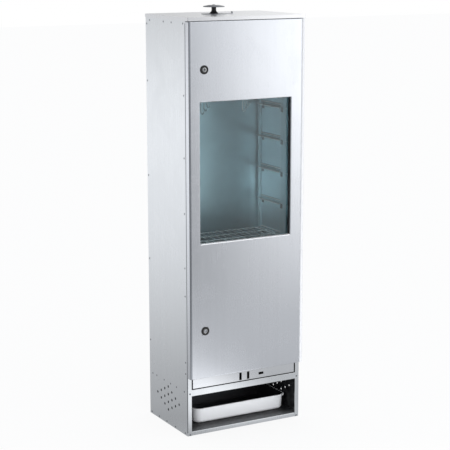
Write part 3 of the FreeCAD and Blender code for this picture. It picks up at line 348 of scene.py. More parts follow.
def shift(tree, shader, label, mask, change, as_share=False):
    """Adds a change to an input where a mask is 1, or that share of the input's own value."""
    own = shader.inputs[label].links[0].from_socket
    feed(tree, shader.inputs, **{label: product(tree, own, maths(tree, "MULTIPLY_ADD", mask, change, 1.0))
                                 if as_share else maths(tree, "MULTIPLY_ADD", mask, change, own)})


LEDGE_STEP = 100 * MM
LEDGE_WIDE = 12 * MM
LEDGE_TALL = 10 * MM
SHEET = 1.0 * MM
grate_low, grate_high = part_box("grate")
rack_low, rack_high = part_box("right_rack")
tree, shader, x, y, z = reopen("rack_steel")
nearest = maths(tree, "WRAP", z, grate_low.z + LEDGE_STEP / 2, grate_low.z - LEDGE_STEP / 2)
over_ledge = maths(tree, "SUBTRACT", nearest, grate_low.z)
# Painted highlight: the ledge tops are pale and less metallic.
ledge_highlight = product(tree, maths(tree, "LESS_THAN", maths(tree, "ABSOLUTE", x), rack_high.x - 5 * MM),
                 maths(tree, "COMPARE", over_ledge, 0.0, 1.5 * MM), 0.9)
paint(tree, shader, ledge_highlight, (0.92, 0.96, 0.97, 1))
shift(tree, shader, "Metallic", ledge_highlight, -0.8, as_share=True)
print("ledges from", round(grate_low.z, 4), "every", LEDGE_STEP)

# %% [markdown]
# ## Window edges
#
# The two upright edges of the window are painted black, dull and not metallic as painted shade, so they
# read as dark lines. The lower edge gets a painted highlight and is bright from end to end.

# %% Window edges
window_low, window_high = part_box("window_frame")
window_middle = (window_low + window_high) / 2
half_opening = window_high.x - window_middle.x - SHEET
tree, shader, x, y, z = reopen("door_steel")
from_middle = maths(tree, "ABSOLUTE", maths(tree, "SUBTRACT", x, window_middle.x))
# Painted shade: the upright edges of the window turn black, dull and not metallic.
jamb_shade = product(tree, maths(tree, "COMPARE", from_middle, half_opening, 0.6 * MM),
               remap(tree, y, window_low.y + 0.2 * MM, window_low.y + 1.2 * MM),
               maths(tree, "COMPARE", z, window_middle.z, window_high.z - window_middle.z))
paint(tree, shader, jamb_shade, (0.02, 0.02, 0.022, 1))
shift(tree, shader, "Metallic", jamb_shade, -1.0)
shift(tree, shader, "Roughness", jamb_shade, 0.3)
# Painted highlight: the lower edge of the window turns pale and less metallic.
sill_highlight = product(tree, maths(tree, "COMPARE", z, window_low.z, 1.4 * MM),
               maths(tree, "LESS_THAN", from_middle, half_opening))
paint(tree, shader, sill_highlight, (0.98, 0.98, 0.99, 1))
shift(tree, shader, "Metallic", sill_highlight, -0.8, as_share=True)
print("jambs at", round(half_opening, 4), "from the window's middle")

# %% [markdown]
# ## Painted shade lines
#
# Some places on the front get painted shade and read as dark lines: the cut edges of the drawer's slots,
# its lower edge over the rail, the rail's top, and the bends along the sides of the front and the door. Each
# is a box on the sheet.

# %% Painted shade lines


def darken(finish, boxes, colour, amount, deep=1.5 * MM):
    """Paints shade on a finish inside boxes on the front, given as middle x, half x, middle z, half z."""
    tree, shader, x, y, z = reopen(finish)
    shade_lines = 0.0
    for middle_x, half_x, middle_z, half_z in boxes:
        box = product(tree, maths(tree, "COMPARE", x, middle_x, half_x),
                      maths(tree, "COMPARE", z, middle_z, half_z))
        shade_lines = maths(tree, "MAXIMUM", shade_lines, box)
    at_front = maths(tree, "LESS_THAN", y, side_low.y + deep)
    paint(tree, shader, product(tree, shade_lines, at_front, amount), colour)
    print(f"{finish}: {len(boxes)} dark seams")


# Tones of the painted shade lines.
SHADE_BLACK = (0.01, 0.01, 0.011, 1)
SIDE_BEND_SHADE = (0.16, 0.17, 0.19, 1)
DOOR_BEND_SHADE = (0.26, 0.28, 0.31, 1)
UPRIGHT_SLOT, UPRIGHT_HALF = 13.4 * MM, (4.3 * MM, 11.8 * MM)
FLAT_SLOT, FLAT_HALF = 58.75 * MM, (8.6 * MM, 3.9 * MM)
front_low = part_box("drawer_front")[0]
slots_z = front_low.z + 15.2 * MM
rail_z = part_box("shelf")[1].z
slots = ((-UPRIGHT_SLOT, UPRIGHT_HALF), (UPRIGHT_SLOT, UPRIGHT_HALF), (FLAT_SLOT, FLAT_HALF))
# Painted shade at the drawer's slots, its lower edge, the rail's top and the side and door bends.
darken("drawer_steel", [(middle_x, half_x, slots_z, half_z) for middle_x, (half_x, half_z) in slots]
       + [(0.0, 200 * MM, front_low.z, 1.3 * MM)], SHADE_BLACK, 0.95)
darken("cabinet_steel", [(0.0, 178 * MM, rail_z, 1.0 * MM)], SHADE_BLACK, 0.9)
darken("cabinet_steel", [(side * side_low.x, 1.3 * MM, 0.62, 0.61) for side in (-1, 1)], SIDE_BEND_SHADE, 0.9,
       deep=2.4 * MM)
darken("door_steel", [(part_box("door_skin")[0].x + 3.7 * MM, 3.1 * MM, 0.7, 0.6)], DOOR_BEND_SHADE, 0.8)

# %% [markdown]
# ## Char and painted shade on the pan
#
# The inside of the pan is painted nearly black as char and painted shade, and the back half of its outside
# as painted shade, blackest at the right. An attribute of the pan's faces, which is set where the pan is
# made, says which of them are inside.

# %% Char and painted shade on the pan
pan_low, pan_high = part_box("fire_pan")
pan_middle = (pan_low + pan_high) / 2
tree, shader, x, y, z = reopen("pan_steel")
inside_pan = put(tree, "Attribute", {"attribute_name": "pan_inside_shade"}).outputs["Fac"]
# Painted shade on the pan, with char inside: darker toward the back, greyer at the left.
char_and_shade = maths(tree, "MAXIMUM", inside_pan, remap(tree, y, pan_middle.y, pan_high.y - 30 * MM, 0.0, 0.9))
char_and_shade_tone = mix(tree, remap(tree, x, -80 * MM, 140 * MM), (0.085, 0.092, 0.105, 1), (0.018, 0.017, 0.019, 1))
paint(tree, shader, char_and_shade, char_and_shade_tone)
shift(tree, shader, "Roughness", char_and_shade, 0.3)
print("pan burnt behind", round(pan_middle.y, 4))

# %% [markdown]
# ## Glass, rubber, lacquer and chrome
#
# The pane is clear glass, a little green-blue as thick glass is. The gasket is matt rubber. The lock rings
# are lacquered black and their cores are bright. The wires are near-white and mostly not metallic, a painted
# highlight, and the knob is a dull moulding.

# %% Other materials


def plain(name, tone, roughness, metallic, speckle, bump, size=500.0, coat=0.0):
    """Moulded, lacquered or polished surface with fine speckle in its tone, roughness and height."""
    material, tree, shader, where = new_material(name)
    dots = noise(tree, where, size, 3.0)
    feed(tree, shader.inputs, Metallic=metallic, Coat_Weight=coat, Normal=bumped(tree, bump, 0.1 * MM, dots),
         Base_Color=mix(tree, dots, lighter(tone, 1 - speckle), lighter(tone, 1 + speckle)),
         Roughness=remap(tree, dots, 0.25, 0.75, roughness * 0.85, roughness * 1.15))
    return material


finishes.update({row[0]: plain(*row) for row in (
    ("gasket_rubber", (0.03, 0.03, 0.03), 0.7, 0.0, 0.3, 0.3),
    ("lock_black", (0.008, 0.008, 0.008), 0.45, 0.0, 0.2, 0.05, 500.0, 0.1),
    ("lock_chrome", (0.46, 0.47, 0.48), 0.25, 1.0, 0.06, 0.02),
    # Painted highlight: the wires are near-white and mostly not metallic, so they read bright.
    ("wire_chrome", (0.95, 0.96, 0.97), 0.22, 0.3, 0.06, 0.04),
    ("knob_black", (0.016, 0.016, 0.017), 0.42, 0.0, 0.3, 0.25, 900.0))})

glass, tree, shader, where = new_material("window_glass")
wiped = use_group(tree, marks_group, Vector=where, Size=14.0)["Marks"]
feed(tree, shader.inputs, Transmission_Weight=1.0, IOR=1.45,
     Roughness=remap(tree, wiped, 0.0, 1.0, 0.0, 0.05),
     Base_Color=mix(tree, wiped, (0.87, 0.98, 1.0, 1), (0.82, 0.92, 0.94, 1)))
finishes["window_glass"] = glass

for part in frame["record"]["subparts"]:
    mesh = nodes[part["node"]].data
    mesh.materials.clear()
    mesh.materials.append(finishes[part["material_slot"]])
print("finishes:", len(finishes))

# %% [markdown]
# ## Making a piece
#
# Each new piece is a mesh built in place, so its object stays at the origin. `make_piece` merges doubles,
# turns the faces outward, smooths the gentle edges and says which body the piece moves with. The others are
# workshop tools: `turned` is a lathe, `draw` pulls a rim out and `rod_between` lays a wire.

# %% Piece helpers
SMOOTH_UNDER = math.radians(35)
SAME_POINT = 0.001 * MM
TO_FRONT = Matrix.Rotation(math.pi / 2, 4, "X")


def new_object(name, work, material):
    """Puts a bmesh into the scene as an object."""
    mesh = bpy.data.meshes.new(name)
    work.to_mesh(mesh)
    work.free()
    mesh.materials.append(material)
    item = bpy.data.objects.new(name, mesh)
    scene.collection.objects.link(item)
    return item


def make_piece(name, work, body, finish, stands_for=()):
    """Turns a bmesh into a piece that rides on a body. finish names its material among the finishes."""
    bmesh.ops.remove_doubles(work, verts=work.verts, dist=SAME_POINT)
    bmesh.ops.recalc_face_normals(work, faces=work.faces)
    piece = new_object(name, work, finishes[finish])
    for polygon in piece.data.polygons:
        polygon.use_smooth = True
    piece.data.set_sharp_from_angle(angle=SMOOTH_UNDER)
    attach(piece, body)
    if stands_for:
        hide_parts(*stands_for)
    print(f"{name}: {len(piece.data.polygons)} faces on {body}")
    return piece


def turned(work, profile, centre, axis="Z", steps=48):
    """Lathe work: spins a profile of (radius, height) points, in mm, about an axis through a centre."""
    along = {"X": Vector((1, 0, 0)), "Y": Vector((0, -1, 0)), "Z": Vector((0, 0, 1))}[axis]
    aside = Vector((0, 1, 0)) if axis == "X" else Vector((1, 0, 0))
    points = [work.verts.new(centre + (aside * radius + along * height) * MM) for radius, height in profile]
    edges = [work.edges.new(pair) for pair in zip(points, points[1:])]
    bmesh.ops.spin(work, geom=points + edges, cent=centre, axis=along, angle=2 * math.pi, steps=steps,
                   use_merge=True)


def turned_piece(name, body, finish, node, profile, centre, slot=None, **spin):
    """Piece that is one turned profile and stands for a rigid node."""
    work = bmesh.new()
    turned(work, profile, centre, **spin)
    make_piece(name, work, body, finish, [node])


def rod_between(work, start, end, radius, sides=12):
    """Round wire from one point to another."""
    start, end = Vector(start), Vector(end)
    turn = (end - start).to_track_quat("Z", "Y").to_matrix().to_4x4()
    bmesh.ops.create_cone(work, cap_ends=True, segments=sides, radius1=radius, radius2=radius,
                          depth=(end - start).length, matrix=Matrix.Translation((start + end) / 2) @ turn)


def bevel(work, edges, offset, segments):
    """Rounds edges."""
    bmesh.ops.bevel(work, geom=edges, offset=offset, segments=segments, profile=0.5, affect="EDGES",
                    material=-1)


def points_in(geometry):
    """The points among what an operator gives back."""
    return [item for item in geometry if isinstance(item, bmesh.types.BMVert)]


def open_edges(work):
    """Edges with a face on one side only."""
    return [edge for edge in work.edges if edge.is_boundary]


def whose_ends(edges, test):
    """Edges of which both ends pass a test."""
    return [edge for edge in edges if all(test(vert.co) for vert in edge.verts)]


def draw(work, edges, vector):
    """Pulls a rim out by a vector. Returns all that is new."""
    made = bmesh.ops.extrude_edge_only(work, edges=edges)["geom"]
    bmesh.ops.translate(work, verts=points_in(made), vec=vector)
    return made


def sheet_to_front(work, middle, width, height):
    """One flat face that looks to the front."""
    bmesh.ops.create_grid(work, x_segments=1, y_segments=1, size=0.5, matrix=Matrix.Translation(middle)
                          @ TO_FRONT @ Matrix.Diagonal((width, height, 1.0, 1.0)))


# %% [markdown]
# ## Bends in sheet
#
# Sheet never folds to a knife edge: each fold has a radius and shows as a thin dark or bright line. `folded`
# copies a rigid node, merges its triangles into clean faces and bevels the folds that a test picks. A
# Weighted Normal modifier keeps the wide faces flat beside the thin bevels.

# %% Folded sheet
FOLD = 2.2 * MM
SMALL_FOLD = 1.5 * MM
FLAT_WITHIN = math.radians(1.0)
FOLDED_FROM = 1.0
SAME_PLACE = 0.05 * MM


def keep_flats(piece):
    """Lets the large faces decide the shading at the edges of the bends."""
    piece.modifiers.new("flat_faces", "WEIGHTED_NORMAL").keep_sharp = True


def folded(node, body, finish, picks, radius=FOLD):
    """Copy of a rigid sheet with rounded folds. picks tests the two ends of an edge."""
    work = bmesh.new()
    work.from_mesh(nodes[node].data)
    bmesh.ops.remove_doubles(work, verts=work.verts, dist=SAME_POINT)
    bmesh.ops.dissolve_limit(work, angle_limit=FLAT_WITHIN, verts=work.verts, edges=work.edges)
    folds = [edge for edge in work.edges if len(edge.link_faces) == 2 and edge.calc_face_angle() > FOLDED_FROM
             and picks(*(vert.co for vert in edge.verts))]
    bevel(work, folds, radius, 4)
    keep_flats(make_piece(f"{node}_folded", work, body, finish, [node]))


def at(place, *values):
    """Whether a place along an axis is one of some values."""
    return any(abs(place - value) < SAME_PLACE for value in values)


def both(first, second, *values):
    """Whether the two ends of an edge lie together at one of some values."""
    return at(first, *values) and at(second, first)


def cover_fold(a, b):
    """Folds of the cover, round its top and down its corners."""
    on_side = both(a.x, b.x, cover_low.x, cover_high.x)
    on_end = both(a.y, b.y, cover_low.y, cover_high.y)
    return (both(a.z, b.z, cover_high.z) and (on_side or on_end)) or (on_side and on_end)


for node, side in (("left_side_panel", 1), ("right_side_panel", -1)):
    folded(node, "cabinet", "cabinet_steel",
           lambda a, b: both(a.x, b.x, side * side_low.x) and both(a.y, b.y, side_low.y, side_high.y))
cover_low, cover_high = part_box("top_cover")
folded("top_cover", "cabinet", "cover_steel", cover_fold)
for node, body, finish in (("drawer_front", "drawer", "drawer_steel"), ("shelf", "cabinet", "cabinet_steel"),
                           ("base_tray", "cabinet", "cabinet_steel")):
    sheet_low, sheet_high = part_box(node)
    folded(node, body, finish, lambda a, b: both(a.z, b.z, sheet_high.z) and both(a.y, b.y, sheet_low.y),
           SMALL_FOLD)

# %% [markdown]
# ## The door
#
# The door is one folded tray with a window whose edges are turned back to the glass. A single face is cut
# along the lines of the window and the locks, the cells on them are taken out, and each lock's square hole
# is bridged to a round one. The rims are drawn back, the folds bevelled, and the sheet gets its wall last.

# %% Door
LOCK_HOLE = 9.5 * MM
DOOR_FOLD = 2.6 * MM
WINDOW_FOLD = 2.4 * MM
door_low, door_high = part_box("door_skin")
door_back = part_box("door_frame")[1].y
opening_low = window_low + Vector((SHEET, 0, SHEET))
opening_high = window_high - Vector((SHEET, 0, SHEET))
lock_places = [sum(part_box(f"{which}_lock_nut"), Vector()) / 2 for which in ("upper", "lower")]
PATCH = lock_places[0].x - opening_low.x
patch = Vector((PATCH, 0, PATCH))
door_middle = (door_low + door_high) / 2
work = bmesh.new()
sheet_to_front(work, (door_middle.x, door_low.y, door_middle.z), door_high.x - door_low.x,
               door_high.z - door_low.z)
cuts = ([((1, 0, 0), x) for x in (opening_low.x, opening_high.x, lock_places[0].x + PATCH)]
        + [((0, 0, 1), z) for z in (opening_low.z, opening_high.z)]
        + [((0, 0, 1), place.z + step) for place in lock_places for step in (-PATCH, PATCH)])
for across, value in cuts:
    bmesh.ops.bisect_plane(work, geom=work.verts[:] + work.edges[:] + work.faces[:],
                           plane_co=Vector(across) * value, plane_no=across)


def within(spot, low, high, margin=0.0):
    """Whether a spot lies in a rectangle of the door's face."""
    return all(low[axis] - margin < spot[axis] < high[axis] + margin for axis in (0, 2))


def cells(low, high):
    """Faces of the door in a rectangle."""
    return [face for face in work.faces if within(face.calc_center_median(), low, high)]


bmesh.ops.delete(work, geom=cells(opening_low, opening_high), context="FACES")
for place in lock_places:
    cell = cells(place - patch, place + patch)
    square = list(cell[0].edges)
    bmesh.ops.delete(work, geom=cell, context="FACES_ONLY")
    bmesh.ops.subdivide_edges(work, edges=square, cuts=7)
    square = whose_ends(open_edges(work), lambda spot: within(spot, place - patch, place + patch, 0.01 * MM))
    bmesh.ops.create_circle(work, segments=32, radius=LOCK_HOLE,
                            matrix=Matrix.Translation((place.x, door_low.y, place.z)) @ TO_FRONT
                            @ Matrix.Rotation(math.pi / 4, 4, "Z"))
    bmesh.ops.bridge_loops(work, edges=square + [edge for edge in work.edges if edge.is_wire])


def rim_edges(low, high):
    """Open edges of the door's face that lie on a rectangle."""
    return whose_ends(open_edges(work), lambda spot: within(spot, low, high, MM)
                      and (at(spot.x, low.x, high.x) or at(spot.z, low.z, high.z)))


outer = rim_edges(door_low, door_high)
inner = rim_edges(opening_low, opening_high)
draw(work, outer, (0, door_back - door_low.y, 0))
draw(work, inner, (0, window_high.y - door_low.y, 0))
bmesh.ops.recalc_face_normals(work, faces=work.faces)
corners = whose_ends(work.edges, lambda spot: at(spot.x, door_low.x, door_high.x)
                     and at(spot.z, door_low.z, door_high.z))
bevel(work, outer + corners, DOOR_FOLD, 4)
bevel(work, [edge for edge in inner if edge.is_valid], WINDOW_FOLD, 3)
bmesh.ops.solidify(work, geom=work.faces[:], thickness=SHEET)
keep_flats(make_piece("door_sheet", work, "door", "door_steel", ["door_skin", "door_frame", "window_frame"]))

# %% [markdown]
# ## Locks
#
# Each lock is a black ring with a bright core for a square key. Both are turned parts, so a profile is spun
# about the lock's axis. The core's face is left open in the middle, a four-sided ring on its corner is
# bridged to it, and that ring is drawn in as the key's socket.

# %% Locks
SOCKET_CORNER = 6.5 * MM / math.sqrt(2)
SOCKET_DEEP = 6.0 * MM
SOCKET_BACK = 0.2
FACE_DEEP = 3.0
CORE_GAP = 0.2
BEZEL_OUT = 2.5


def lock_ring(which, centre, bezel, core, depth):
    """Black ring with a rounded front edge, and its barrel behind it. Sizes are in mm."""
    inner, barrel = core + CORE_GAP, LOCK_HOLE / MM
    turned_piece(f"{which}_lock_ring", "door", "lock_black", f"{which}_lock_housing", [
        (inner, -0.6), (core + 1.2, -0.1), (core + 2.2, 0.0), (bezel - 1.4, 0.0), (bezel - 0.4, -0.4),
        (bezel, -1.2), (bezel, -BEZEL_OUT), (barrel, -BEZEL_OUT), (barrel, -depth), (inner, -depth),
        (inner, -0.6)], centre, axis="Y")


def lock_face(which, centre, core, depth):
    """Bright core with its square socket. Sizes are in mm."""
    work = bmesh.new()
    turned(work, [(core, -FACE_DEEP), (core, -0.9), (core - 0.4, -0.4), (core - 1.1, -SOCKET_BACK)], centre,
           "Y")
    mouth = centre + Vector((0, SOCKET_BACK, 0)) * MM
    rim = whose_ends(open_edges(work), lambda spot: at(spot.y, mouth.y))
    bmesh.ops.create_circle(work, segments=4, radius=SOCKET_CORNER,
                            matrix=Matrix.Translation(mouth) @ TO_FRONT)
    bmesh.ops.subdivide_edges(work, edges=[edge for edge in work.edges if edge.is_wire], cuts=11)
    square = [edge for edge in work.edges if edge.is_wire]
    bmesh.ops.bridge_loops(work, edges=rim + square)
    sunk = draw(work, square, (0, SOCKET_DEEP, 0))
    floor_edges = [item for item in sunk if isinstance(item, bmesh.types.BMEdge)
                   and item.is_boundary and all(vert in sunk for vert in item.verts)]
    bmesh.ops.edgeloop_fill(work, edges=floor_edges)
    draw(work, open_edges(work), (0, (depth - FACE_DEEP) * MM, 0))
    bmesh.ops.edgeloop_fill(work, edges=open_edges(work))
    make_piece(f"{which}_lock_face", work, f"{which}_lock", "lock_chrome", [f"{which}_lock_core"])


for which in ("upper", "lower"):
    ring_low, ring_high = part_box(f"{which}_lock_housing")
    core_low, core_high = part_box(f"{which}_lock_core")
    centre = Vector(((ring_low.x + ring_high.x) / 2, ring_low.y, (ring_low.z + ring_high.z) / 2))
    core = (core_high.x - core_low.x) / 2 / MM
    lock_ring(which, centre, (ring_high.x - ring_low.x) / 2 / MM, core, (ring_high.y - ring_low.y) / MM)
    lock_face(which, centre, core, (core_high.y - centre.y) / MM)

# %% [markdown]
# ## The vent
#
# On the roof sits a damper disc with a moulded knob: a cone that runs into a post, a pressed cap over it and
# a screw through all three. They are lathe work again. The disc is flat sheet, so the rigid model's own
# shape stays.

# %% Vent
BORE = 3.0
POST = 7.0
CAP_WALL = 1.2
knob_low, knob_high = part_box("damper_knob")
cap_low, cap_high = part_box("knob_cap")
spindle_low, spindle_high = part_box("damper_spindle")
vent_x, vent_y = (knob_low.x + knob_high.x) / 2, (knob_low.y + knob_high.y) / 2
foot, tall = (knob_high.x - knob_low.x) / 2 / MM, (knob_high.z - knob_low.z) / MM
turned_piece("vent_knob", "damper", "knob_black", "damper_knob", [
    (BORE, 0.0), (foot - 0.5, 0.0), (foot, 0.5), (foot, 1.3), (foot - 0.6, 2.0), (foot - 3.0, 4.4),
    (POST + 0.8, 7.4), (POST + 0.1, 8.8), (POST, 10.0), (POST, tall - 0.6), (POST - 0.6, tall), (BORE, tall),
    (BORE, 0.0)], Vector((vent_x, vent_y, knob_low.z)))

cap, crown = (cap_high.x - cap_low.x) / 2 / MM, (cap_high.z - cap_low.z) / MM
turned_piece("vent_cap", "damper", "cap_steel", "knob_cap", [
    (BORE, crown - CAP_WALL), (17.2, crown - CAP_WALL), (cap - 2.4, 1.6), (cap - 1.2, 1.0), (cap - 1.1, 0.2),
    (cap - 0.6, 0.0), (cap - 0.1, 0.3), (cap, 1.4), (cap - 0.9, 2.4), (18.6, crown - 0.4), (17.0, crown),
    (BORE, crown), (BORE, crown - CAP_WALL)], Vector((vent_x, vent_y, cap_low.z)), slot="damper_steel")

rise, fall = (spindle_high.z - cap_high.z) / MM, (spindle_low.z - cap_high.z) / MM
turned_piece("vent_screw", "damper", "damper_steel", "damper_spindle", [
    (0.0, rise), (2.2, rise - 0.1), (3.9, rise - 0.7), (5.1, rise - 1.7), (5.5, 0.0), (BORE, 0.0),
    (BORE, fall), (0.0, fall)], Vector((vent_x, vent_y, cap_high.z)), steps=24)

# %% [markdown]
# ## The grate
#
# A welded wire grate: the rim and three cross wires carry finer wires that run to the back. Each wire is a
# rod of ten or twelve sides, and a small bead marks each weld.

# %% Grate
RIM_WIRE = 2.5 * MM
FINE_WIRE = 1.25 * MM
WELD = 1.5 * MM
CROSS_WIRES = 3
FINE_WIRES = 16
level = grate_low.z + RIM_WIRE
over = grate_high.z - FINE_WIRE
left, right = grate_low.x + RIM_WIRE, grate_high.x - RIM_WIRE
near, far = grate_low.y + RIM_WIRE, grate_high.y - RIM_WIRE
work = bmesh.new()
cross = [near + (far - near) * step / (CROSS_WIRES + 1) for step in range(CROSS_WIRES + 2)]
for y in cross:
    rod_between(work, (grate_low.x, y, level), (grate_high.x, y, level), RIM_WIRE)
for x in (left, right):
    rod_between(work, (x, near, level), (x, far, level), RIM_WIRE)
for step in range(1, FINE_WIRES + 1):
    x = left + (right - left) * step / (FINE_WIRES + 1)
    rod_between(work, (x, near - 0.5 * MM, over), (x, far + 0.5 * MM, over), FINE_WIRE, 10)
    for y in cross:
        bmesh.ops.create_icosphere(work, subdivisions=1, radius=WELD,
                                   matrix=Matrix.Translation((x, y, over - FINE_WIRE)))
make_piece("wire_grate", work, "cabinet", "wire_chrome", ["grate"])

# %% [markdown]
# ## Clips of the racks
#
# Each ledge hooks into its uprights with a small tab under its end, forty in all. Each is a plate with one
# bevelled face.

# %% Rack clips
CLIP = Vector((1.6, 11.0, 14.0)) * MM
CLIP_BEVEL = 0.6 * MM
UPRIGHT_BACK = -7.9 * MM
UPRIGHT_FACE = 190.0 * MM
FIRST_LEDGE = 260 * MM
LEDGES = 10
ledges = [FIRST_LEDGE + step * LEDGE_STEP for step in range(LEDGES)]
clip_places = ((UPRIGHT_BACK - CLIP.y / 2 - 1.0 * MM, UPRIGHT_FACE), (rack_high.y - 2 * CLIP.y, rack_high.x))
work = bmesh.new()
for ledge in ledges:
    for side in (-1, 1):
        for y, wall in clip_places:
            middle = (side * (wall - CLIP.x / 2), y, ledge - SHEET - CLIP.z / 2)
            plate = bmesh.ops.create_cube(work, size=1.0, matrix=Matrix.Translation(middle)
                                          @ Matrix.Diagonal((*CLIP, 1.0)))["verts"]
            edges = dict.fromkeys(edge for vert in plate for edge in vert.link_edges)
            bevel(work, whose_ends(edges, lambda spot: side * spot.x < wall - CLIP.x / 2), CLIP_BEVEL, 1)
make_piece("rack_clips", work, "cabinet", "clip_steel")

# %% [markdown]
# ## Beads of the racks
#
# A ledge's free edges are rolled into beads, at its inner edge and at the top of its leg, and the front
# upright ends in a bead too. Their finish is a painted highlight, near-white and not metallic, so they read
# as thin pale lines.

# %% Rack beads
BEAD = 1.7 * MM
ledge_end = rack_high.y - 14.0 * MM
bead_x = UPRIGHT_FACE + BEAD
work = bmesh.new()
for side in (-1, 1):
    for ledge in ledges:
        for x, z in ((rack_high.x - LEDGE_WIDE + BEAD, ledge - SHEET - BEAD),
                     (rack_high.x - BEAD, ledge + LEDGE_TALL + 0.2 * MM - BEAD)):
            rod_between(work, (side * x, UPRIGHT_BACK, z), (side * x, ledge_end, z), BEAD, 10)
    rod_between(work, (side * bead_x, UPRIGHT_BACK, rack_low.z + 1.0 * MM),
                (side * bead_x, UPRIGHT_BACK, rack_high.z - 1.0 * MM), BEAD, 10)
# The beads' finish is a painted highlight.
make_piece("rack_beads", work, "cabinet", "bead_steel")

# %% [markdown]
# ## Hooks
#
# A hook is one bent wire: it goes over its rod in a half turn, hangs straight and ends in a wider half turn
# that comes to a point. A circle of wire is spun for each bend and extruded for the shank.

# %% Hooks
rods_low, rods_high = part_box("hanging_rods")
ROD = (rods_high.z - rods_low.z) / 2
ROWS, IN_A_ROW = 3, 2
HOOK_WIRE = 1.5 * MM
OVER_ROD = ROD + 0.3 * MM + HOOK_WIRE
LOWER_BEND = 9.0 * MM
SHANK = 92.0 * MM
HOOK_STEP = 140.0 * MM


def ring_edges(verts):
    """Edges that join a ring of points."""
    return list(dict.fromkeys(edge for vert in verts for edge in vert.link_edges
                              if edge.other_vert(vert) in verts))


def bend_wire(ring, centre, axis, steps):
    """Spins the end of the wire through a half turn. Returns its new end."""
    spun = bmesh.ops.spin(work, geom=ring + ring_edges(ring), cent=centre, axis=axis, angle=math.pi,
                          steps=steps)
    return points_in(spun["geom_last"])


work = bmesh.new()
ring = bmesh.ops.create_circle(work, segments=10, radius=HOOK_WIRE, cap_ends=False,
                               matrix=Matrix.Translation((0, OVER_ROD, 0)))["verts"]
bmesh.ops.contextual_create(work, geom=ring_edges(ring))
ring = bend_wire(ring, (0, 0, 0), (1, 0, 0), 12)
ring = points_in(draw(work, ring_edges(ring), (0, 0, -SHANK)))
ring = bend_wire(ring, (0, -OVER_ROD - LOWER_BEND, -SHANK), (-1, 0, 0), 14)
tip = sum((vert.co for vert in ring), Vector()) / len(ring)
bmesh.ops.scale(work, verts=ring, vec=(0.25, 0.25, 0.25), space=Matrix.Translation(-tip))
bmesh.ops.contextual_create(work, geom=ring_edges(ring))
one_hook = work.verts[:] + work.edges[:] + work.faces[:]

row_step = (rods_high.y - rods_low.y - 2 * ROD) / (ROWS - 1)
places = [Vector((HOOK_STEP * (column - (IN_A_ROW - 1) / 2 + (row - (ROWS - 1) / 2) / ROWS),
                  rods_low.y + ROD + row * row_step, rods_low.z + ROD))
          for row in range(ROWS) for column in range(IN_A_ROW)]
for place in places[1:]:
    copied = bmesh.ops.duplicate(work, geom=one_hook)["geom"]
    bmesh.ops.translate(work, verts=points_in(copied), vec=place)
bmesh.ops.translate(work, verts=points_in(one_hook), vec=places[0])
make_piece("wire_hooks", work, "cabinet", "wire_chrome", ["hooks"])

# %% [markdown]
# ## The fire pan
#
# The pan is pressed from one sheet. A box is bevelled at its upright edges, drawn in below, bevelled at the
# bottom, given its rim by two extrusions and last its thickness. Faces that look inward get the attribute
# by which they are painted nearly black, as char and painted shade.

# %% Fire pan
PAN_RIM = 5.0 * MM
PAN_LIP = 3.0 * MM
PAN_CORNER = 22 * MM
PAN_BEND = 9 * MM
LEAN = math.radians(3.0)
half_long, half_wide, half_tall = (pan_high - pan_low) / 2
work = bmesh.new()
bmesh.ops.create_cube(work, size=1.0)
bmesh.ops.scale(work, verts=work.verts,
                vec=(2 * (half_long - PAN_RIM), 2 * (half_wide - PAN_RIM), 2 * half_tall))
upright = [edge for edge in work.edges if abs(edge.verts[0].co.z - edge.verts[1].co.z) > half_tall]
bevel(work, upright, PAN_CORNER, 8)
bmesh.ops.delete(work, geom=[face for face in work.faces if face.normal.z > 0.9], context="FACES_ONLY")
drawn_in = 2 * half_tall * math.tan(LEAN)
lower = [vert for vert in work.verts if vert.co.z < 0]
bmesh.ops.scale(work, verts=lower, vec=(1 - drawn_in / half_long, 1 - drawn_in / half_wide, 1))
bmesh.ops.translate(work, verts=lower, vec=(0, 0, SHEET))
about_bottom = whose_ends(work.edges, lambda spot: spot.z < 0)
bevel(work, [edge for edge in about_bottom if len(edge.link_faces) == 2], PAN_BEND, 6)
turned_out = points_in(draw(work, open_edges(work), (0, 0, 0)))
bmesh.ops.scale(work, verts=turned_out,
                vec=(half_long / (half_long - PAN_RIM), half_wide / (half_wide - PAN_RIM), 1))
lip_edges = open_edges(work)
draw(work, lip_edges, (0, 0, -PAN_LIP))
bevel(work, [edge for edge in lip_edges if edge.is_valid], 1.0 * MM, 2)
bmesh.ops.recalc_face_normals(work, faces=work.faces)
bmesh.ops.translate(work, verts=work.verts, vec=pan_middle)
bmesh.ops.solidify(work, geom=work.faces[:], thickness=SHEET)
# Faces that look inward are marked for char and painted shade.
pan_inside_shade = work.faces.layers.float.new("pan_inside_shade")
for face in work.faces:
    off = face.calc_center_median() - pan_middle
    faces_in = face.normal.x * off.x + face.normal.y * off.y < -1.0 * MM
    inner_floor = face.normal.z > 0.3 and off.z < 0
    face[pan_inside_shade] = 1.0 if faces_in or inner_floor else 0.0
make_piece("pressed_pan", work, "pan", "pan_steel", ["fire_pan"])

# %% [markdown]
# ## Rivets
#
# Blind rivets hold the sheets together, with low domes on the side sheets, the back and the front. A
# squashed ball, half sunk in the sheet, is enough for each. Places are in millimetres.

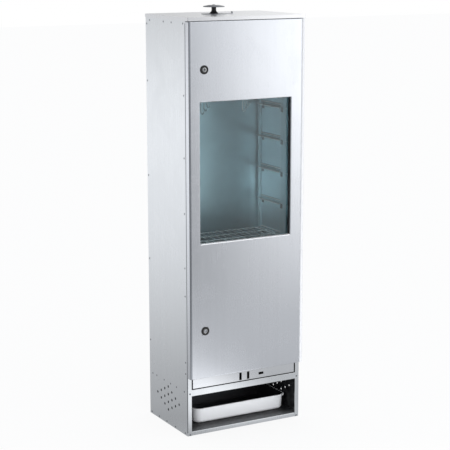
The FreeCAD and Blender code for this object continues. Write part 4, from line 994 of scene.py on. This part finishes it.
# %% Rivets
HEAD = 2.8 * MM
DOME = 0.8 * MM
SIDE_RIVETS = ([(-108, z) for z in (1024, 843, 679, 516, 431, 228, 193)]
               + [(130, z) for z in (1218, 1048, 760, 500, 240)]
               + [(y, 134.5) for y in (-98, -46, -6, 38, 89, 117)]
               + [(y, 6) for y in (-103, -38, 21, 74, 126)] + [(y, 1229) for y in (-105, -32, 19, 110)])
FRONT_RIVETS = [(x, z) for x in (-186.5, 186.5) for z in (3.5, 131.5)]
BACK_RIVETS = [(x, z) for z in (6, 131.5, 400, 700, 1000, 1225) for x in (-187.5, 187.5)]
work = bmesh.new()
rivets = [((side * side_low.x, y * MM, z * MM), 0) for y, z in SIDE_RIVETS for side in (1, -1)]
rivets += [((x * MM, side_low.y, z * MM), 1) for x, z in FRONT_RIVETS]
rivets += [((x * MM, side_high.y, z * MM), 1) for x, z in BACK_RIVETS]
for place, axis in rivets:
    flat = [HEAD, HEAD, HEAD]
    flat[axis] = DOME
    bmesh.ops.create_uvsphere(work, u_segments=16, v_segments=8, radius=1.0,
                              matrix=Matrix.Translation(place) @ Matrix.Diagonal((*flat, 1.0)))
make_piece("cabinet_rivets", work, "cabinet", "rivet_steel")

# %% [markdown]
# ## Air holes
#
# The side sheets are pierced for air beside the fire. A small black ring, like a rolled edge, is spun for
# each hole as painted shade, so a hole looks larger and darker than it is.

# %% Air hole rims
AIR_RUN, AIR_RISE, AIR_HEIGHT = 24.3 * MM, 12.3 * MM, 71.2 * MM
AIR_MIDDLE = 10.1 * MM
HOLES_A_SIDE = 4
HOLE = 2.9
sill_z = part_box("base_tray")[1].z
work = bmesh.new()
for row in range(HOLES_A_SIDE):
    for column in range(HOLES_A_SIDE):
        for side in (-1, 1):
            centre = Vector((-side * side_low.x, AIR_MIDDLE + (row + column - 3) * AIR_RUN,
                             sill_z + AIR_HEIGHT + (row - column) * AIR_RISE))
            profile = ((HOLE, -1.0), (HOLE, 0.15), (HOLE + 0.3, 0.25), (HOLE + 1.0, 0.2), (HOLE + 1.3, 0.0),
                       (HOLE, -1.0))
            turned(work, [(radius, side * height) for radius, height in profile], centre, "X", 16)
# Painted shade: the rings are nearly black.
make_piece("air_hole_rims", work, "cabinet", "burnt_steel")

# %% [markdown]
# ## The studio air
#
# The photograph has a white ground with hardly a shadow, and soft light from everywhere. So the camera sees
# white, and a pale air gives the light. Reflections see quiet tones of their own: paler above, greyer behind
# the cabinet, and a dark wedge where the camera stands.

# %% Studio air
LENS_SIDE = (-0.48, -0.877, 0.0)
WEDGE_TONE = (0.10, 0.10, 0.11, 1)
WHITE = (1, 1, 1, 1)


def along(tree, where, direction):
    """How far a place lies along a direction."""
    return put(tree, "VectorMath", {"operation": "DOT_PRODUCT"}, _0=where, _1=direction).outputs["Value"]


def toward_lens(tree, heading):
    """Mask of the dark wedge from a heading."""
    return remap(tree, along(tree, heading, LENS_SIDE), 0.85, 0.98, 0.0, 0.8)


def blend(tree, share, first, second):
    """Shader between two shaders."""
    return put(tree, "MixShader", _0=share, _1=first.outputs[0], _2=second.outputs[0])


def seen_by(tree, others, metal, eye):
    """Picks one shader for the camera, one for reflections and one for all other light."""
    rays = put(tree, "LightPath").outputs
    lit = blend(tree, rays["Is Glossy Ray"], others, metal)
    return blend(tree, rays["Is Camera Ray"], lit, eye).outputs[0]


def bare_tree(owner):
    """Empty node tree of a material or a world."""
    owner.use_nodes = True
    owner.node_tree.nodes.clear()
    return owner.node_tree


world = bpy.data.worlds.new("studio_air")
scene.world = world
tree = bare_tree(world)
heading = coordinates(tree, "Generated")
x, y, z = axes(tree, heading)
lifted = mix(tree, remap(tree, z, -0.05, 0.7), (0.62, 0.63, 0.65, 1), (0.92, 0.93, 0.95, 1))
behind = maths(tree, "ADD", remap(tree, x, 0.0, 0.3, 0.60, 0.45), remap(tree, x, 0.38, 0.54, 0.0, 0.74))
behind = put(tree, "CombineColor", Red=behind, Green=behind, Blue=behind).outputs["Color"]
reflected = mix(tree, remap(tree, y, 0.0, 0.3), lifted, behind)
reflected = mix(tree, toward_lens(tree, heading), reflected, WEDGE_TONE)
soft = put(tree, "Background", Color=(0.92, 0.94, 0.97, 1), Strength=0.95)
mirrored = put(tree, "Background", Color=reflected, Strength=1.0)
white = put(tree, "Background", Color=WHITE, Strength=1.0)
put(tree, "OutputWorld", Surface=seen_by(tree, soft, mirrored, white))
print("air:", world.name)

# %% [markdown]
# ## The floor
#
# The floor is white to the camera and keeps a pale shadow. In reflections it has tones along the line to the
# front right: pale far behind, grey near the cabinet and paler a metre before it. A bright patch lies close
# in front, which the lower pieces mirror, and the dark wedge begins a step away.

# %% Floor
FRONT_RIGHT = (0.48, -0.87, 0.0)
NEAREST, FARTHEST = -20.0, 16.0
FLOOR_TONES = ((-20.0, 0.75), (-14.0, 1.02), (-8.9, 1.18), (-5.65, 1.06), (-3.75, 0.98), (-2.45, 0.84),
               (-1.55, 0.70), (-0.97, 0.57), (-0.5, 0.47), (-0.3, 0.45), (-0.12, 0.38), (0.1, 0.50),
               (0.5, 0.52), (0.8, 0.58), (1.1, 0.62), (1.35, 0.58), (1.73, 0.45), (2.0, 0.40), (4.5, 0.38),
               (9.0, 0.52), (14.0, 0.62))
PATCH_TONE = (1.38, 1.39, 1.41, 1)
SHADOW = 0.14


def stage_sheet(name, material, work, hidden_from=()):
    """Flat piece of the studio. hidden_from names the kinds of light that miss it."""
    sheet = new_object(name, work, material)
    for kind in hidden_from:
        setattr(sheet, f"visible_{kind}", False)
    print("stage:", name)


floor_material = bpy.data.materials.new("studio_floor")
tree = bare_tree(floor_material)
where = coordinates(tree)
x, y, z = axes(tree, where)
ramp = put(tree, "ValToRGB", Fac=remap(tree, along(tree, where, FRONT_RIGHT), NEAREST, FARTHEST))
for index, (metres, tone) in enumerate(FLOOR_TONES):
    stop = (metres - NEAREST) / (FARTHEST - NEAREST)
    mark = ramp.color_ramp.elements[index] if index < 2 else ramp.color_ramp.elements.new(stop)
    mark.position = stop
    mark.color = (tone, tone * 1.01, tone * 1.03, 1)
patch = product(tree, remap(tree, y, -0.12, -0.26), remap(tree, y, -1.1, -0.5), remap(tree, x, 0.25, 0.10),
                remap(tree, x, -0.20, 0.0))
away = put(tree, "VectorMath", {"operation": "LENGTH"}, _0=where).outputs["Value"]
heading = put(tree, "VectorMath", {"operation": "NORMALIZE"}, _0=where).outputs[0]
wedge = product(tree, toward_lens(tree, heading), remap(tree, away, 0.6, 1.2))
lit = mix(tree, patch, ramp.outputs["Color"], PATCH_TONE)
mirrored = put(tree, "Emission", Color=mix(tree, wedge, lit, WEDGE_TONE), Strength=1.0)
paper = put(tree, "BsdfDiffuse", Color=(0.95, 0.95, 0.95, 1))
white = put(tree, "Emission", Color=WHITE, Strength=1.0)
shaded = blend(tree, SHADOW, white, paper)
put(tree, "OutputMaterial", Surface=seen_by(tree, paper, mirrored, shaded))
work = bmesh.new()
bmesh.ops.create_grid(work, x_segments=1, y_segments=1, size=20.0)
stage_sheet("studio_floor", floor_material, work)

# %% [markdown]
# ## Card and lamp
#
# A large pale card stands at the right front for reflections. Its left and lower edges fade out, so the door
# has a soft gradient. A low, wide lamp fills the fire box and the pan, and no sheet mirrors it.

# %% Card and lamp
card_material = bpy.data.materials.new("pale_card")
tree = bare_tree(card_material)
x, y, z = axes(tree, coordinates(tree))
fades = [maths(tree, "SUBTRACT", 1.0, maths(tree, "POWER", remap(tree, place, low, high, 1.0, 0.0), power))
         for place, low, high, power in ((x, 0.45, 0.92, 1.4), (z, -0.2, 0.95, 1.3))]
glow = put(tree, "Emission", Color=WHITE, Strength=1.50)
clear = put(tree, "BsdfTransparent")
card_look = blend(tree, product(tree, *fades), clear, glow)
put(tree, "OutputMaterial", Surface=card_look.outputs[0])
work = bmesh.new()
sheet_to_front(work, (1.2, -1.3, 1.0), 1.8, 1.99)
stage_sheet("pale_card", card_material, work, hidden_from=("camera", "diffuse", "shadow"))

fill = bpy.data.lights.new("front_fill", "AREA")
fill.shape = "RECTANGLE"
fill.size, fill.size_y = 1.4, 0.6
fill.energy = 9.0
lamp = bpy.data.objects.new("front_fill", fill)
lamp.matrix_world = Matrix.Translation((-0.2, -1.7, 0.32)) @ TO_FRONT
lamp.visible_glossy = False
scene.collection.objects.link(lamp)
scene.view_settings.view_transform = "Standard"
print("studio ready")
